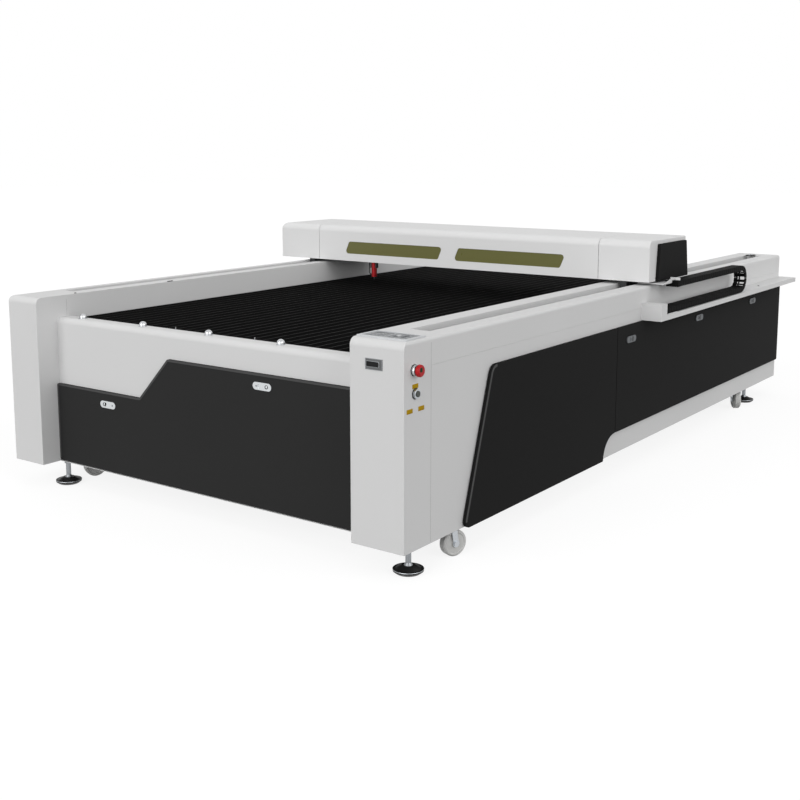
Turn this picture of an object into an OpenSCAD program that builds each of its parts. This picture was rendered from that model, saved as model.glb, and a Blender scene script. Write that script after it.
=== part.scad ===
// Flat-bed carbon dioxide laser cutter with a travelling gantry.
// Millimetres. X runs across the machine with the controls at +X, Y runs from the front to the
// back and Z runs up. The origin is on the floor under the middle of the whole machine.

/* [Body] */
// Width over the two side walls
body_w = 2000; // [1900:10:2400]
// Length from the front columns to the rear panel
body_len = 3630; // [3400:10:4400]
// Height of the side walls' top
body_top = 787; // [780:1:850]
// Height of the lower edge of the sheet metal
body_bottom = 97; // [88:1:100]
// Thickness of the sheet metal
sheet = 2; // [1.5:0.1:3]
// Radius of the upper outer edges of columns and rail boxes
edge_r = 12; // [6:1:18]

/* [Columns] */
// Depth of the front columns
col_d = 150; // [140:1:170]
// Width of the right column, which carries the controls
col_w_right = 215; // [205:1:240]
// Width of the left column
col_w_left = 178; // [160:1:200]
// Radius of the columns' upper front edge
col_front_r = 26; // [20:1:40]

/* [Rail boxes] */
// Width of the right rail box
box_w_right = 228; // [216:1:250]
// Width of the left rail box
box_w_left = 178; // [160:1:200]
// Height of the rail boxes
box_h = 92; // [85:1:100]
// Width of the slot in the right rail box
slot_w_right = 79; // [70:1:90]
// Distance of that slot from the right outer face
slot_in_right = 71; // [60:1:80]
// Width of the slot in the left rail box
slot_w_left = 60; // [58:1:80]
// Distance of that slot from the left outer face
slot_in_left = 50; // [40:1:60]
// Distance of the slots' front end from the front of the machine
slot_start = 245; // [240:1:280]
// Distance of the slots' rear end from the rear of the machine
slot_end = 100; // [95:1:110]

/* [Frame] */
// Height and width of the frame's square tubes
tube = 60; // [50:1:60]
// Wall of the frame tubes
tube_wall = 4; // [3:0.5:6]
// Width of the two lower lengthwise tubes
long_w = 80; // [70:1:90]
// Distance of the left lower tube's middle from the left outer face
long_in_left = 195; // [190:1:230]
// Width of the beams under the guide rails
rail_beam_w = 76; // [70:1:90]
// Depth of the rail beams' top under the side walls' top
rail_drop = 123; // [120:1:128]

/* [Bed] */
// Depth of the blade tops under the side walls' top
bed_drop = 93; // [80:1:95]
// Height of a blade
blade_h = 60; // [50:1:70]
// Thickness of a blade
blade_t = 4; // [3:0.5:6]
// Distance from blade to blade
blade_pitch = 50; // [30:1:60]
// Number of bars that carry the blades
support_n = 6; // [4:1:8]
// Thickness of such a bar
support_t = 8; // [5:1:12]

/* [Front] */
// Setback of the apron face behind the columns' front
apron_set = 100; // [95:1:105]
// Depth of the apron's ledge
apron_d = 60; // [52:1:62]
// Depth of the ledge under the side walls' top
apron_drop = 87; // [80:1:100]
// Radius of the ledge's front edge
apron_r = 24; // [10:1:30]
// How far doors and side panels stand proud of the sheet behind them
panel_proud = 15; // [13:0.5:20]
// Air gap between a panel's flanges and the sheet behind it
panel_gap = 3; // [3:0.5:4]
// Height of the front door's low left part
door_low = 427; // [400:1:450]
// Height of the front door's high right part
door_high = 597; // [560:1:604]
// Distance from the right outer face to the start of the door's slope
slope_x = 1161; // [1100:1:1200]
// Width of the door's slope
slope_w = 162; // [120:1:200]
// Diameter of a transfer ball
ball_d = 30; // [24:1:34]
// Distance between transfer balls
ball_pitch = 357; // [300:1:370]
// Distance of the first transfer ball from the right outer face
ball_first = 634; // [540:1:640]

/* [Side panels] */
// Height of the panels' top edge
panel_top = 642; // [620:1:642]
// Height of the panels' lower edge behind the step
step_z = 196; // [185:1:204]
// Distance from the front to the step's arc
step_y = 1402; // [1300:10:1450]
// Distance from the front to the seam between fixed panel and side door
seam_y = 1510; // [1500:1:1560]
// Distance from the rear panel to the side door's rear edge
panel_back = 14; // [10:1:60]
// Distance from the front to the panel's front lower corner
panel_front = 333; // [320:1:360]
// Run of the slanted front edge
panel_slant = 154; // [120:1:170]

/* [Controls] */
// Distance of the stop button from the front
stop_in = 54; // [50:1:90]
// Distance of the start button from the front
start_in = 61; // [50:1:90]
// Diameter of the stop button's head
stop_d = 40; // [36:1:44]
// How far the stop button stands out
stop_out = 31; // [28:1:36]
// Diameter of the start button's bezel
start_d = 31; // [28:1:34]
// How far the start button stands out
start_out = 13; // [11:1:16]
// Width of the keypad panel
pad_w = 196; // [180:1:198]
// Depth of the keypad panel
pad_d = 110; // [100:1:111]
// Width of the swing-lever lock
lock_w = 67; // [60:1:70]
// Height of the swing-lever lock
lock_h = 36; // [32:1:40]

/* [Feet] */
// Diameter of the levelling pads
pad_foot_d = 104; // [96:1:124]
// Diameter of the caster wheels
wheel_d = 94; // [86:1:100]
// Width of the caster wheels
wheel_w = 33; // [28:1:36]
// Distance of the right casters' swivel axes from the right outer face
caster_in_right = 28; // [28:1:40]
// Distance of the right front caster's swivel axis from the front
caster_front_right = 316; // [300:1:340]
// Distance of the left front caster's swivel axis from the front
caster_front_left = 240; // [230:1:330]
// Distance between front and rear casters
caster_base = 2787; // [2600:1:3200]
// Distance of a wheel's axle behind its swivel axis
caster_trail = 8; // [4:1:12]
// Angle to which the front casters have swung
swivel_front = -22; // [-180:1:180]
// Angle to which the rear casters have swung
swivel_rear = 36; // [-180:1:180]
// Distance of the right feet's middle from the right outer face
foot_in_right = 54; // [50:1:66]
// Distance of the right front foot from the front
foot_front_right = 100; // [96:1:130]
// Distance of the left front foot from the front
foot_front_left = 111; // [111:1:130]
// Distance of the rear feet from the front
foot_rear = 3295; // [3180:1:3330]

/* [Gantry] */
// Distance from the front of the machine to the gantry cover, as it stands
gantry_y = 1832; // [600:1:2600]
// Depth of the gantry cover
cover_d = 400; // [390:1:440]
// Height of the gantry cover
cover_h = 183; // [175:1:200]
// Gap between the side walls' top and the gantry cover
cover_gap = 15; // [12:1:18]
// How far the cover reaches over the left wall
cover_over_left = 124; // [110:1:140]
// How far the cover stands out past the right wall
cover_over_right = 5; // [3:1:8]
// Radius of the cover's upper front edge
cover_r = 33; // [20:1:40]
// Width of the left end cover
cover_w_left = 260; // [240:1:300]
// Width of the right end cover
cover_w_right = 245; // [230:1:280]
// Length of the inspection windows
window_w = 582; // [400:1:620]
// Height of the inspection windows
window_h = 63; // [50:1:70]
// Height of the windows' lower edge over the cover's lower edge
window_up = 38; // [34:1:60]
// Height of the beam
beam_h = 80; // [70:1:90]
// Depth of the beam
beam_d = 100; // [90:1:110]
// Distance of the laser beam's axis over the cover's lower edge
axis_up = 115; // [110:1:125]
// Diameter of the glass laser tube
glass_d = 80; // [60:1:80]
// Length of the glass laser tube
glass_len = 1600; // [1400:10:1700]

/* [Head] */
// Distance of the laser head from the right outer face
head_in = 1526; // [300:1:1620]
// Diameter of the focus tube
focus_d = 28; // [22:1:30]
// Height of the focus tube's lower end under the side walls' top
focus_drop = 61; // [50:1:66]
// Height of the nozzle
nozzle_h = 17; // [10:1:20]

/* [Cable chain] */
// Width of the cable chain
chain_w = 57; // [45:1:60]
// Height of a link
link_h = 27; // [22:1:28]
// Length of a link
link_len = 28; // [26:1:40]
// Bend radius to the middle of the links
bend_r = 54; // [46:1:56]
// Distance of the chain from the side wall
chain_out = 33; // [30:1:35]
// Width of the tray under the chain
tray_w = 95; // [94:1:100]
// Height of the tray
tray_h = 23; // [18:1:24]
// Depth of the tray's top under the side walls' top
tray_drop = 120; // [118:1:124]
// Distance from the front of the machine to the tray
tray_start = 1770; // [1600:1:1900]
// Length of the box at the tray's front end
tray_box_len = 62; // [40:1:90]
// Distance from the front of the machine to the chain's bend, as it stands
chain_bend_y = 2775; // [2500:1:3000]

/* [Drive] */
// Radius of the lengthwise belts' pulleys
pulley_r = 18; // [14:0.5:19]
// Radius of the cross belt's pulleys
x_pulley_r = 12; // [9:0.5:13]
// Width of the lengthwise belts
belt_w = 15; // [10:1:15]
// Thickness of the belts
belt_t = 1.5; // [1:0.1:2]
// Diameter of the cross shaft at the rear
shaft_d = 20; // [16:1:24]
// Length of the saddles' necks
saddle_len = 250; // [200:1:250]
// Distance between the two carriages of a saddle
carriage_pitch = 180; // [130:1:190]

/* [Inside] */
// Distance of the dust tray from the left outer face
dust_in_left = 300; // [270:1:400]
// Distance of the dust tray from the right outer face
dust_in_right = 520; // [490:1:600]
// Height of the dust tray
dust_h = 60; // [40:1:80]
// Distance of the electrics' base plate from the right outer face
electrics_in = 160; // [150:1:170]
// Width of the electrics' base plate
electrics_w = 310; // [240:1:320]
// Height of the laser's power supply
supply_h = 300; // [200:1:320]
// Height of the control box
control_h = 240; // [150:1:300]
// Distance of the tube's cradles from the tube's ends
cradle_in = 250; // [100:1:400]

/* [Rear] */
// Diameter of the exhaust collars
collar_d = 150; // [120:1:160]
// Distance between the exhaust collars
collar_pitch = 800; // [500:1:1000]
// How far the exhaust collars stand out
collar_len = 60; // [40:1:80]

/* [Hidden] */
$fn = 48;

// Fits: running clearance of pins and shafts, air between parts that pass, thickness of a gap cut
fit = 0.05;
clear = 0.4;
eps = 1;

// Outer faces of the body
lock_proud = 3;
x_right = (body_w + cover_over_left - tray_w) / 2;
x_left = x_right - body_w;
y_front = -(body_len + collar_len - lock_proud) / 2;
y_back = y_front + body_len;
bed_x0 = x_left + box_w_left;
bed_x1 = x_right - box_w_right;
door_x0 = x_left + col_w_left;
door_x1 = x_right - col_w_right;
seam_z = body_top - box_h;
apron_y = y_front + apron_set;
apron_top = body_top - apron_drop;

// Frame levels, from the casters up
caster_plate = 5;
long_z = max(wheel_d, body_bottom - 3) + caster_plate + 6;
cross_z = long_z + tube;
post_z = cross_z + tube;
rail_z = body_top - rail_drop;
rail_beam_z = rail_z - tube;
frame_y0 = apron_y + sheet;
frame_y1 = y_back - sheet;
cross_n = 5;
cross_y0 = frame_y0 + 150;
cross_pitch = (frame_y1 - 200 - cross_y0) / (cross_n - 1);
long_x_right = x_right - sheet - long_w / 2;
long_x_left = x_left + long_in_left;
slot_x_right = x_right - slot_in_right - slot_w_right / 2;
slot_x_left = x_left + slot_in_left + slot_w_left / 2;
slot_y0 = y_front + slot_start;
slot_y1 = y_back - slot_end;

// Guide rails, carriages and belts in the two slots
rail_w = 15;
rail_h = 15;
carriage_w = 34;
carriage_h = 28;
carriage_len = 62;
carriage_gap = 4;
side_air = 3.5;
rail_x_right = x_right - slot_in_right - slot_w_right + side_air + carriage_w / 2 + 4.5;
rail_x_left = x_left + slot_in_left + side_air + carriage_w / 2;
belt_x_right = x_right - slot_in_right - side_air - belt_w / 2 - 9;
belt_x_left = x_left + slot_in_left + slot_w_left - side_air - belt_w / 2 - 1;
pulley_z = rail_z + carriage_h;
idler_y = y_front + slot_start - 30;
shaft_y = y_back - slot_end / 2;
axle_r = 5;

// Rear lip
lip_y0 = y_back - 80;

// Blades
blade_z1 = body_top - bed_drop;
lip_top = max(pulley_z + shaft_d / 2 + 4, blade_z1 + 6);
blade_z0 = blade_z1 - blade_h;
blade_y0 = apron_y + apron_d + sheet;
blade_y1 = lip_y0 - sheet;
blade_n = floor((bed_x1 - bed_x0 - 20) / blade_pitch);
blade_x0 = (bed_x0 + bed_x1) / 2 - (blade_n - 1) * blade_pitch / 2;
support_z1 = blade_z0 + 20;
support_pitch = (blade_y1 - blade_y0 - 200) / (support_n - 1);

// Hinges at the lower edge of a door, in the door's own frame: x along the axis, -y outwards
hinge_r = 3;
hinge_up = 6;
lug_r = 4;
lug_foot = 12;
hinge_y = -panel_proud + 7;
lug_t = 8;
pin_len = 22;
front_hinges = [-col_w_right - 140, -body_w / 2, -body_w + col_w_left + 140];
side_hinge_first = 2;

// Slam latches: pill plate, lock barrel and its offset from the pill's middle
latch_w = 88;
latch_h = 28;
latch_out = 4;
latch_barrel = 10;
latch_lock = 13;
front_latch_low = [-1505, door_low - 50];
front_latch_high = [-676, door_high - 44];
side_latch_x = [1642, 2411, 3159];
side_latch_z = panel_top - 62;

// Side panels in their own frame: x from the front, z up
panel_low = body_bottom - 2;
panel_rear = body_len - panel_back;
step_r = step_z - panel_low;
panel_seam = 4;
panel_r = 8;

// Gantry levels and places
cover_y0 = y_front + gantry_y;
cover_y1 = cover_y0 + cover_d;
cover_z0 = body_top + cover_gap;
cover_z1 = cover_z0 + cover_h;
cover_x0 = x_left - cover_over_left;
cover_x1 = x_right + cover_over_right;
beam_z0 = cover_z0 + 2;
beam_z1 = beam_z0 + beam_h;
beam_y0 = cover_y0 + 93;
beam_y1 = beam_y0 + beam_d;
beam_x0 = x_left - 10;
beam_x1 = x_right - 10;
axis_z = cover_z0 + axis_up;
axis_y = cover_y0 + 34;
glass_y = cover_y1 - 102;
glass_x0 = x_left + 150;
fold_x = x_left + 50;

// Cross drive on the beam's front face
x_rail_z = beam_z0 + 25;
x_pulley_z = beam_z0 + 62;
x_belt_y = beam_y0 - 15;
x_belt_w = 10;
x_drive_x = beam_x0 - 42;
x_idler_x = beam_x1 - 60;
x_axle_r = 4;

// Head
head_x = x_right - head_in;
head_w = 76;
plate_y = beam_y0 - carriage_h - 10;
focus_z0 = body_top - focus_drop;
focus_z1 = axis_z - 30;

// Cable chain
chain_x0 = x_right + chain_out;
chain_x1 = chain_x0 + chain_w;
chain_xm = chain_x0 + chain_w / 2;
tray_z = body_top - tray_drop;
chain_z0 = tray_z + 2;
bend_z = chain_z0 + link_h / 2 + bend_r;
chain_z1 = bend_z + bend_r + link_h / 2;
chain_y_fixed = y_front + tray_start + tray_box_len;
chain_y_bend = y_front + chain_bend_y;
chain_y_free = cover_y0 + 153;
core_in = 4;

// ---- Shapes that repeat ----

// Box between two opposite corners
module block(a, b) translate(a) cube(b - a);

// Rectangular steel tube between two corners, open at both ends along the axis 0, 1 or 2
module hollow(a, b, axis, wall = tube_wall) {
    open = [axis == 0 ? -eps : wall, axis == 1 ? -eps : wall, axis == 2 ? -eps : wall];
    difference() {
        block(a, b);
        block(a + open, b - open);
    }
}

// Extrusion along X of a shape drawn in (Y, Z)
module along_x(x0, x1) translate([x0, 0, 0]) rotate([90, 0, 90]) linear_extrude(x1 - x0) children();

// Extrusion along Y of a shape drawn in (X, Z)
module along_y(y0, y1) translate([0, y1, 0]) rotate([90, 0, 0]) linear_extrude(y1 - y0) children();

// Cylinder along X or Y, centred on a point given in the other two axes
module rod_x(x0, x1, y, z, r) translate([x0, y, z]) rotate([0, 90, 0]) cylinder(r = r, h = x1 - x0);
module rod_y(y0, y1, x, z, r) translate([x, y1, z]) rotate([90, 0, 0]) cylinder(r = r, h = y1 - y0);

// Rectangle with its upper corner rounded on the low or the high side of the first axis
module round_top(a, b, r, low = true, high = false) {
    difference() {
        translate(a) square(b - a);
        if (low) corner_waste([a[0], b[1]], r, 1);
        if (high) corner_waste([b[0], b[1]], r, -1);
    }
}

// What a fillet takes away at an upper corner: a square less a quarter disc
module corner_waste(c, r, side) {
    difference() {
        translate([side > 0 ? c[0] - eps : c[0] - r, c[1] - r]) square([r + eps, r + eps]);
        translate([c[0] + side * r, c[1] - r]) circle(r);
    }
}

// Unit vector, and a corner's arc between its neighbours p and n
function unit(v) = v / norm(v);
function turn(a) = a > 180 ? a - 360 : a < -180 ? a + 360 : a;
function arc(p, c, n, r, steps) =
    let (u = unit(p - c), v = unit(n - c), half = acos(u * v) / 2,
         m = c + unit(u + v) * r / sin(half),
         s = c + u * r / tan(half) - m, e = c + v * r / tan(half) - m,
         a0 = atan2(s[1], s[0]), sweep = turn(atan2(e[1], e[0]) - a0))
    [for (i = [0:steps]) m + r * [cos(a0 + sweep * i / steps), sin(a0 + sweep * i / steps)]];

// Outline with every corner rounded, by one radius or by one for each corner
function pick(r, i) = is_list(r) ? r[i] : r;
function rounded(pts, r, steps = 5) =
    let (n = len(pts))
    [for (i = [0:n - 1])
        each arc(pts[(i + n - 1) % n], pts[i], pts[(i + 1) % n], pick(r, i), steps)];
function less(r, d) = is_list(r) ? [for (v = r) v - d] : r - d;

// Anticlockwise outline moved inwards by d
function inwards(v) = [-v[1], v[0]];
function inset(pts, d) =
    let (n = len(pts))
    [for (i = [0:n - 1])
        let (a = inwards(unit(pts[i] - pts[(i + n - 1) % n])),
             b = inwards(unit(pts[(i + 1) % n] - pts[i])))
        pts[i] + (a + b) * d / (1 + a * b)];

// Sheet-metal pan in a panel's own frame, its face outwards at -panel_proud
module pan(outline, r = panel_r) {
    difference() {
        along_y(-panel_proud, -panel_gap) polygon(rounded(outline, r));
        along_y(-panel_proud + sheet, 0) polygon(rounded(inset(outline, sheet), less(r, sheet)));
    }
}

// Frames of the front door and of the two sides
module at_front() translate([x_right, apron_y, 0]) children();
module at_right() translate([x_right, y_front, 0]) rotate([0, 0, 90]) children();
module at_left() translate([x_left, y_front, 0]) mirror([1, 0, 0]) rotate([0, 0, 90]) children();

// Hinge lug with its pin, fixed to the frame behind a door; z is the door's lower edge
module hinge_lug(x, z, top) {
    x0 = x - lug_t / 2;
    x1 = x + lug_t / 2;
    block([x0, hinge_y - lug_r, z + hinge_up], [x1, -panel_gap, top]);
    block([x0, hinge_y, z + hinge_up - lug_r + 0.5], [x1, -panel_gap, z + hinge_up]);
    block([x0, -panel_gap, top - lug_foot], [x1, sheet, top]);
    rod_x(x0, x1, hinge_y, z + hinge_up, lug_r);
    rod_x(x - pin_len / 2, x + pin_len / 2, hinge_y, z + hinge_up, hinge_r);
}

// Slot that lets a lug through the sheet behind the door
module lug_slot(x, top) {
    block([x - lug_t / 2 - 1, -eps, top - lug_foot - 1], [x + lug_t / 2 + 1, sheet + eps, top + 1]);
}

// Ear of a door on one side of a lug, before it is drilled
module hinge_ear(x0, x1, z) {
    block([x0, -panel_proud + sheet, z + sheet], [x1, -panel_gap - 2, z + hinge_up + 8]);
}

// Door: a pan with ears, drilled for the hinge pins and cut free around the lugs
module door(outline, hinges, z) {
    ear = (pin_len - lug_t) / 2;
    air = lug_t / 2 + 1;
    difference() {
        union() {
            pan(outline);
            for (x = hinges) {
                hinge_ear(x + air, x + air + ear, z);
                hinge_ear(x - air - ear, x - air, z);
            }
        }
        for (x = hinges) {
            rod_x(x - pin_len, x + pin_len, hinge_y, z + hinge_up, hinge_r + fit);
            block([x - air, -panel_proud + sheet, z - eps], [x + air, 0, z + 2 * hinge_up]);
        }
    }
}

// Pill-shaped slam latch on a panel's face, with a round lock barrel behind it
module pill_latch(x, z) {
    half = (latch_w - latch_h) / 2;
    difference() {
        union() {
            along_y(-panel_proud - latch_out, -panel_proud) {
                translate([x - half, z]) circle(latch_h / 2);
                translate([x + half, z]) circle(latch_h / 2);
                translate([x - half, z - latch_h / 2]) square([2 * half, latch_h]);
            }
            rod_y(-panel_proud, -panel_gap - 2, x - latch_lock, z, latch_barrel - clear);
        }
        rod_y(-panel_proud - latch_out - eps, -panel_proud - 2, x - latch_lock, z, latch_barrel - 2);
    }
}

module latch_hole(x, z) rod_y(-panel_proud - eps, -panel_gap, x - latch_lock, z, latch_barrel);

// Outlines of the panels, in their own frames
door_z0 = body_bottom + 6;
function door_outline() = [
    [-body_w + col_w_left + 2, door_z0], [-col_w_right - 2, door_z0], [-col_w_right - 2, door_high],
    [-slope_x, door_high], [-slope_x - slope_w, door_low], [-body_w + col_w_left + 2, door_low]
];
function step_arc(n) = [
    for (i = [0:n])
        [step_y + step_r, panel_low] + step_r * [-cos(90 * i / n), sin(90 * i / n)]
];
function front_panel_outline() = concat(
    [[panel_front, panel_low]], step_arc(9),
    [[seam_y - panel_seam / 2, step_z], [seam_y - panel_seam / 2, panel_top],
     [panel_front + panel_slant + 22, panel_top]]
);
front_panel_r = concat([25, 6], [for (i = [1:9]) 6], [2.5, 2.5, 40]);
function side_door_outline() = [
    [seam_y + panel_seam / 2, step_z], [panel_rear, step_z],
    [panel_rear, panel_top], [seam_y + panel_seam / 2, panel_top]
];

// ---- Frame ----

// Tube lengthwise between two heights, centred on x
module long_tube(x, w, y0, z) hollow([x - w / 2, y0, z], [x + w / 2, frame_y1, z + tube], 1);

// Two lower tubes over feet and casters, and the two beams under the guide rails
module frame_lengthwise() color("#3d4043") {
    long_tube(long_x_right, long_w, y_front + 60, long_z);
    long_tube(long_x_left, long_w, frame_y0, long_z);
    for (x = [slot_x_right, slot_x_left]) long_tube(x, rail_beam_w, y_front + col_d + sheet, rail_beam_z);
}

function cross_y(i) = cross_y0 + i * cross_pitch;

// Cross tubes on the lower tubes, the tube behind the front door, and the door hinge lugs
module frame_cross_tubes() color("#3d4043") {
    for (i = [0:cross_n - 1])
        hollow([x_left + sheet, cross_y(i) - tube / 2, cross_z],
               [x_right - sheet, cross_y(i) + tube / 2, post_z], 0);
    hollow([long_x_left + long_w / 2, frame_y0, long_z],
           [long_x_right - long_w / 2, frame_y0 + tube, cross_z], 0);
    at_front() for (x = front_hinges) hinge_lug(x, door_z0, long_z + tube / 2);
    at_right() for (x = side_hinges) hinge_lug(x, step_z, post_z);
}

// Posts under the rail beams, and the combed bars between the beams that carry the blades
module bed_supports() color("#3a3c3e") {
    for (x = [slot_x_right, slot_x_left], i = [0:cross_n - 1])
        hollow([x - tube / 2, cross_y(i) - tube / 2, post_z],
               [x + tube / 2, cross_y(i) + tube / 2, rail_beam_z], 2);
    for (i = [0:support_n - 1])
        translate([0, blade_y0 + 100 + i * support_pitch, 0])
            along_y(-support_t / 2, support_t / 2)
                difference() {
                    translate([slot_x_left + rail_beam_w / 2, rail_beam_z - 10])
                        square([slot_x_right - slot_x_left - rail_beam_w, support_z1 - rail_beam_z + 10]);
                    for (k = [0:blade_n - 1])
                        translate([blade_x0 + k * blade_pitch - blade_t / 2 - clear, blade_z0])
                            square([blade_t + 2 * clear, blade_h]);
                }
}

// ---- Sheet metal ----

// Column as a solid, smaller by d on every closed face, for its outside and its cavity
module column_form(x0, x1, d) {
    z1 = body_top - d;
    intersection() {
        along_x(x0 + d, x1 - d)
            round_top([y_front + d, body_bottom - (d > 0 ? eps : 0)],
                      [y_front + col_d + (d > 0 ? eps : 0), z1], col_front_r - d);
        along_y(y_front - eps, y_front + col_d + 2 * eps)
            round_top([x0 + d, body_bottom - 2 * eps], [x1 - d, z1], edge_r - d,
                      low = x0 == x_left, high = x1 == x_right);
    }
}

// Two front columns, the right one cut for its controls
module columns() color("#c9c9c9") {
    difference() {
        union() {
            difference() {
                column_form(x_left, door_x0, 0);
                column_form(x_left, door_x0, sheet);
            }
            difference() {
                column_form(door_x1, x_right, 0);
                column_form(door_x1, x_right, sheet);
            }
        }
        block([x_left + sheet, frame_y0, 0], [x_right - sheet, y_front + col_d + eps, cross_z]);
        rod_x(x_right - sheet - eps, x_right + eps, stop_at[0], stop_at[1], stop_hole_r);
        rod_x(x_right - sheet - eps, x_right + eps, start_at[0], start_at[1], start_hole_r);
        block([lock_x - lock_w / 2 + lock_rim, y_front - eps, lock_z - lock_h / 2 + lock_rim],
              [lock_x + lock_w / 2 - lock_rim, y_front + sheet + eps, lock_z + lock_h / 2 - lock_rim]);
        block([pad_x0 + pad_rim, pad_y0 + pad_rim, body_top - sheet - eps],
              [pad_x0 + pad_w - pad_rim, pad_y0 + pad_d - pad_rim, body_top + eps]);
    }
}

// Apron between the columns: face, rounded ledge, lip under the door and a service opening
module front_apron() color("#cfcfcf") {
    back = apron_y + apron_d;
    difference() {
        along_x(door_x0, door_x1) {
            difference() {
                round_top([apron_y, body_bottom], [back, apron_top], apron_r);
                round_top([apron_y + sheet, body_bottom - eps], [back - sheet, apron_top - sheet],
                          apron_r - sheet);
                translate([back - 2 * sheet, 0]) square([3 * sheet, apron_top - ledge_fold]);
            }
            translate([apron_y - panel_proud + 1, body_bottom]) square([panel_proud, sheet]);
        }
        at_front() for (x = front_hinges) lug_slot(x, long_z + tube / 2);
        block([door_x0 + 60, apron_y - eps, door_z0 + 90],
              [door_x1 - 60, apron_y + 2 * sheet, door_low - 40]);
        for (x = [[door_x0 - eps, max(bed_x0, door_x0)], [min(bed_x1, door_x1), door_x1 + eps]])
            block([x[0], y_front + col_d, apron_top - ledge_fold - eps],
                  [x[1], back + eps, apron_top + eps]);
    }
}
ledge_fold = 36;

// Rail box from its inner wall to the outer face; side is 1 on the right and -1 on the left
module rail_box(x0, x1, slot0, slot1, side, belt_x) {
    y0 = y_front + col_d;
    y1 = y_back - sheet;
    inner = side > 0 ? x0 : x1 - sheet;
    difference() {
        union() {
            difference() {
                along_y(y0, y1)
                    round_top([x0, seam_z], [x1, body_top], edge_r, low = side < 0, high = side > 0);
                along_y(y0 + sheet, y1 + eps)
                    round_top([x0 + sheet, seam_z - eps], [x1 - sheet, body_top - sheet],
                              edge_r - sheet, low = side < 0, high = side > 0);
            }
            block([slot0 - sheet, slot_y0 - sheet, seam_z], [slot1 + sheet, slot_y1 + sheet, body_top]);
            block([inner, y0, support_z1 + 2], [inner + sheet, lip_y0, seam_z]);
        }
        block([slot0, slot_y0, seam_z - eps], [slot1, slot_y1, body_top + eps]);
        block([belt_x - belt_w / 2 - 3, slot_y0 - 2 * sheet, seam_z - eps],
              [belt_x + belt_w / 2 + 3, slot_y1 + 2 * sheet, pulley_z + pulley_r + 6]);
        rod_x(x0 - eps, x1 - side * (x1 - x0) / 2, shaft_y, pulley_z, shaft_d / 2 + 3);
    }
}

module rail_boxes() color("#c4c4c4") {
    rail_box(bed_x1, x_right, x_right - slot_in_right - slot_w_right, x_right - slot_in_right,
             1, belt_x_right);
    rail_box(x_left, bed_x0, x_left + slot_in_left, x_left + slot_in_left + slot_w_left, -1, belt_x_left);
}

// Side sheet in a side panel's own frame, with service openings behind the panels
module side_sheet(slots) {
    difference() {
        block([col_d, 0, body_bottom], [body_len - sheet, sheet, seam_z - clear]);
        block([panel_front + panel_slant + 130, -eps, window_z0], [step_y, sheet + eps, window_z1]);
        for (i = [0:2])
            block([seam_y + 70 + i * service_pitch, -eps, window_z0],
                  [seam_y + 70 + i * service_pitch + service_w, sheet + eps, window_z1]);
        for (x = slots) lug_slot(x, post_z);
    }
}
window_z0 = step_z + 50;
window_z1 = panel_top - 40;
service_pitch = (panel_rear - seam_y - 80) / 3;
service_w = service_pitch - 60;

module side_sheets() color("#b4b4b4") {
    at_right() side_sheet(side_hinges);
    at_left() side_sheet([]);
}

// Spacers that hold a fixed panel off the side sheet, over and under the openings
module spacers(xs) {
    for (x = xs, z = [window_z0 - 26, window_z1 + 20])
        block([x - 10, -panel_proud + sheet, z - 10], [x + 10, 0, z + 10]);
}

module side_panel_right() color("#262626") at_right() {
    pan(front_panel_outline(), front_panel_r);
    spacers([panel_front + panel_slant + 120, step_y - 100]);
}

module side_panel_left() color("#262626") at_left() {
    pan(front_panel_outline(), front_panel_r);
    spacers([panel_front + panel_slant + 120, step_y - 100]);
    pan(side_door_outline());
    spacers([seam_y + 90, panel_rear - 90]);
}

// Rear panel with its exhaust collars, cut down between the rail boxes to a lip behind the blades
module rear_panel() color("#b9b9b9") {
    difference() {
        union() {
            along_y(y_back - sheet, y_back)
                round_top([x_left, body_bottom], [x_right, body_top], edge_r, high = true);
            for (x = collar_x) rod_y(y_back, y_back + collar_len, x, collar_z, collar_d / 2);
            block([bed_x0, lip_y0, lip_top - sheet], [bed_x1, y_back - sheet, lip_top]);
            block([bed_x0, lip_y0, blade_z0], [bed_x1, lip_y0 + sheet, lip_top - sheet]);
        }
        block([bed_x0, y_back - 2 * sheet, lip_top], [bed_x1, y_back + eps, body_top + eps]);
        for (x = collar_x)
            rod_y(y_back - 2 * sheet, y_back + collar_len + eps, x, collar_z, collar_d / 2 - collar_wall);
    }
}
collar_wall = 1.5;
collar_z = cross_z + 193;
collar_x = [(bed_x0 + bed_x1 - collar_pitch) / 2, (bed_x0 + bed_x1 + collar_pitch) / 2];

// ---- Bed ----

module bed_blades() color("#171717") {
    for (k = [0:blade_n - 1])
        block([blade_x0 + k * blade_pitch - blade_t / 2, blade_y0, blade_z0],
              [blade_x0 + k * blade_pitch + blade_t / 2, blade_y1, blade_z1]);
}

// Open pan on the cross tubes that catches what falls through the blades
module dust_tray() color("#8d8f90") {
    a = [x_left + dust_in_left, cross_y(0) - tube / 2, post_z];
    b = [x_right - dust_in_right, cross_y(cross_n - 1) + tube / 2, post_z + dust_h];
    difference() {
        block(a, b);
        block(a + [sheet, sheet, sheet], b + [-sheet, -sheet, eps]);
    }
}

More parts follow.
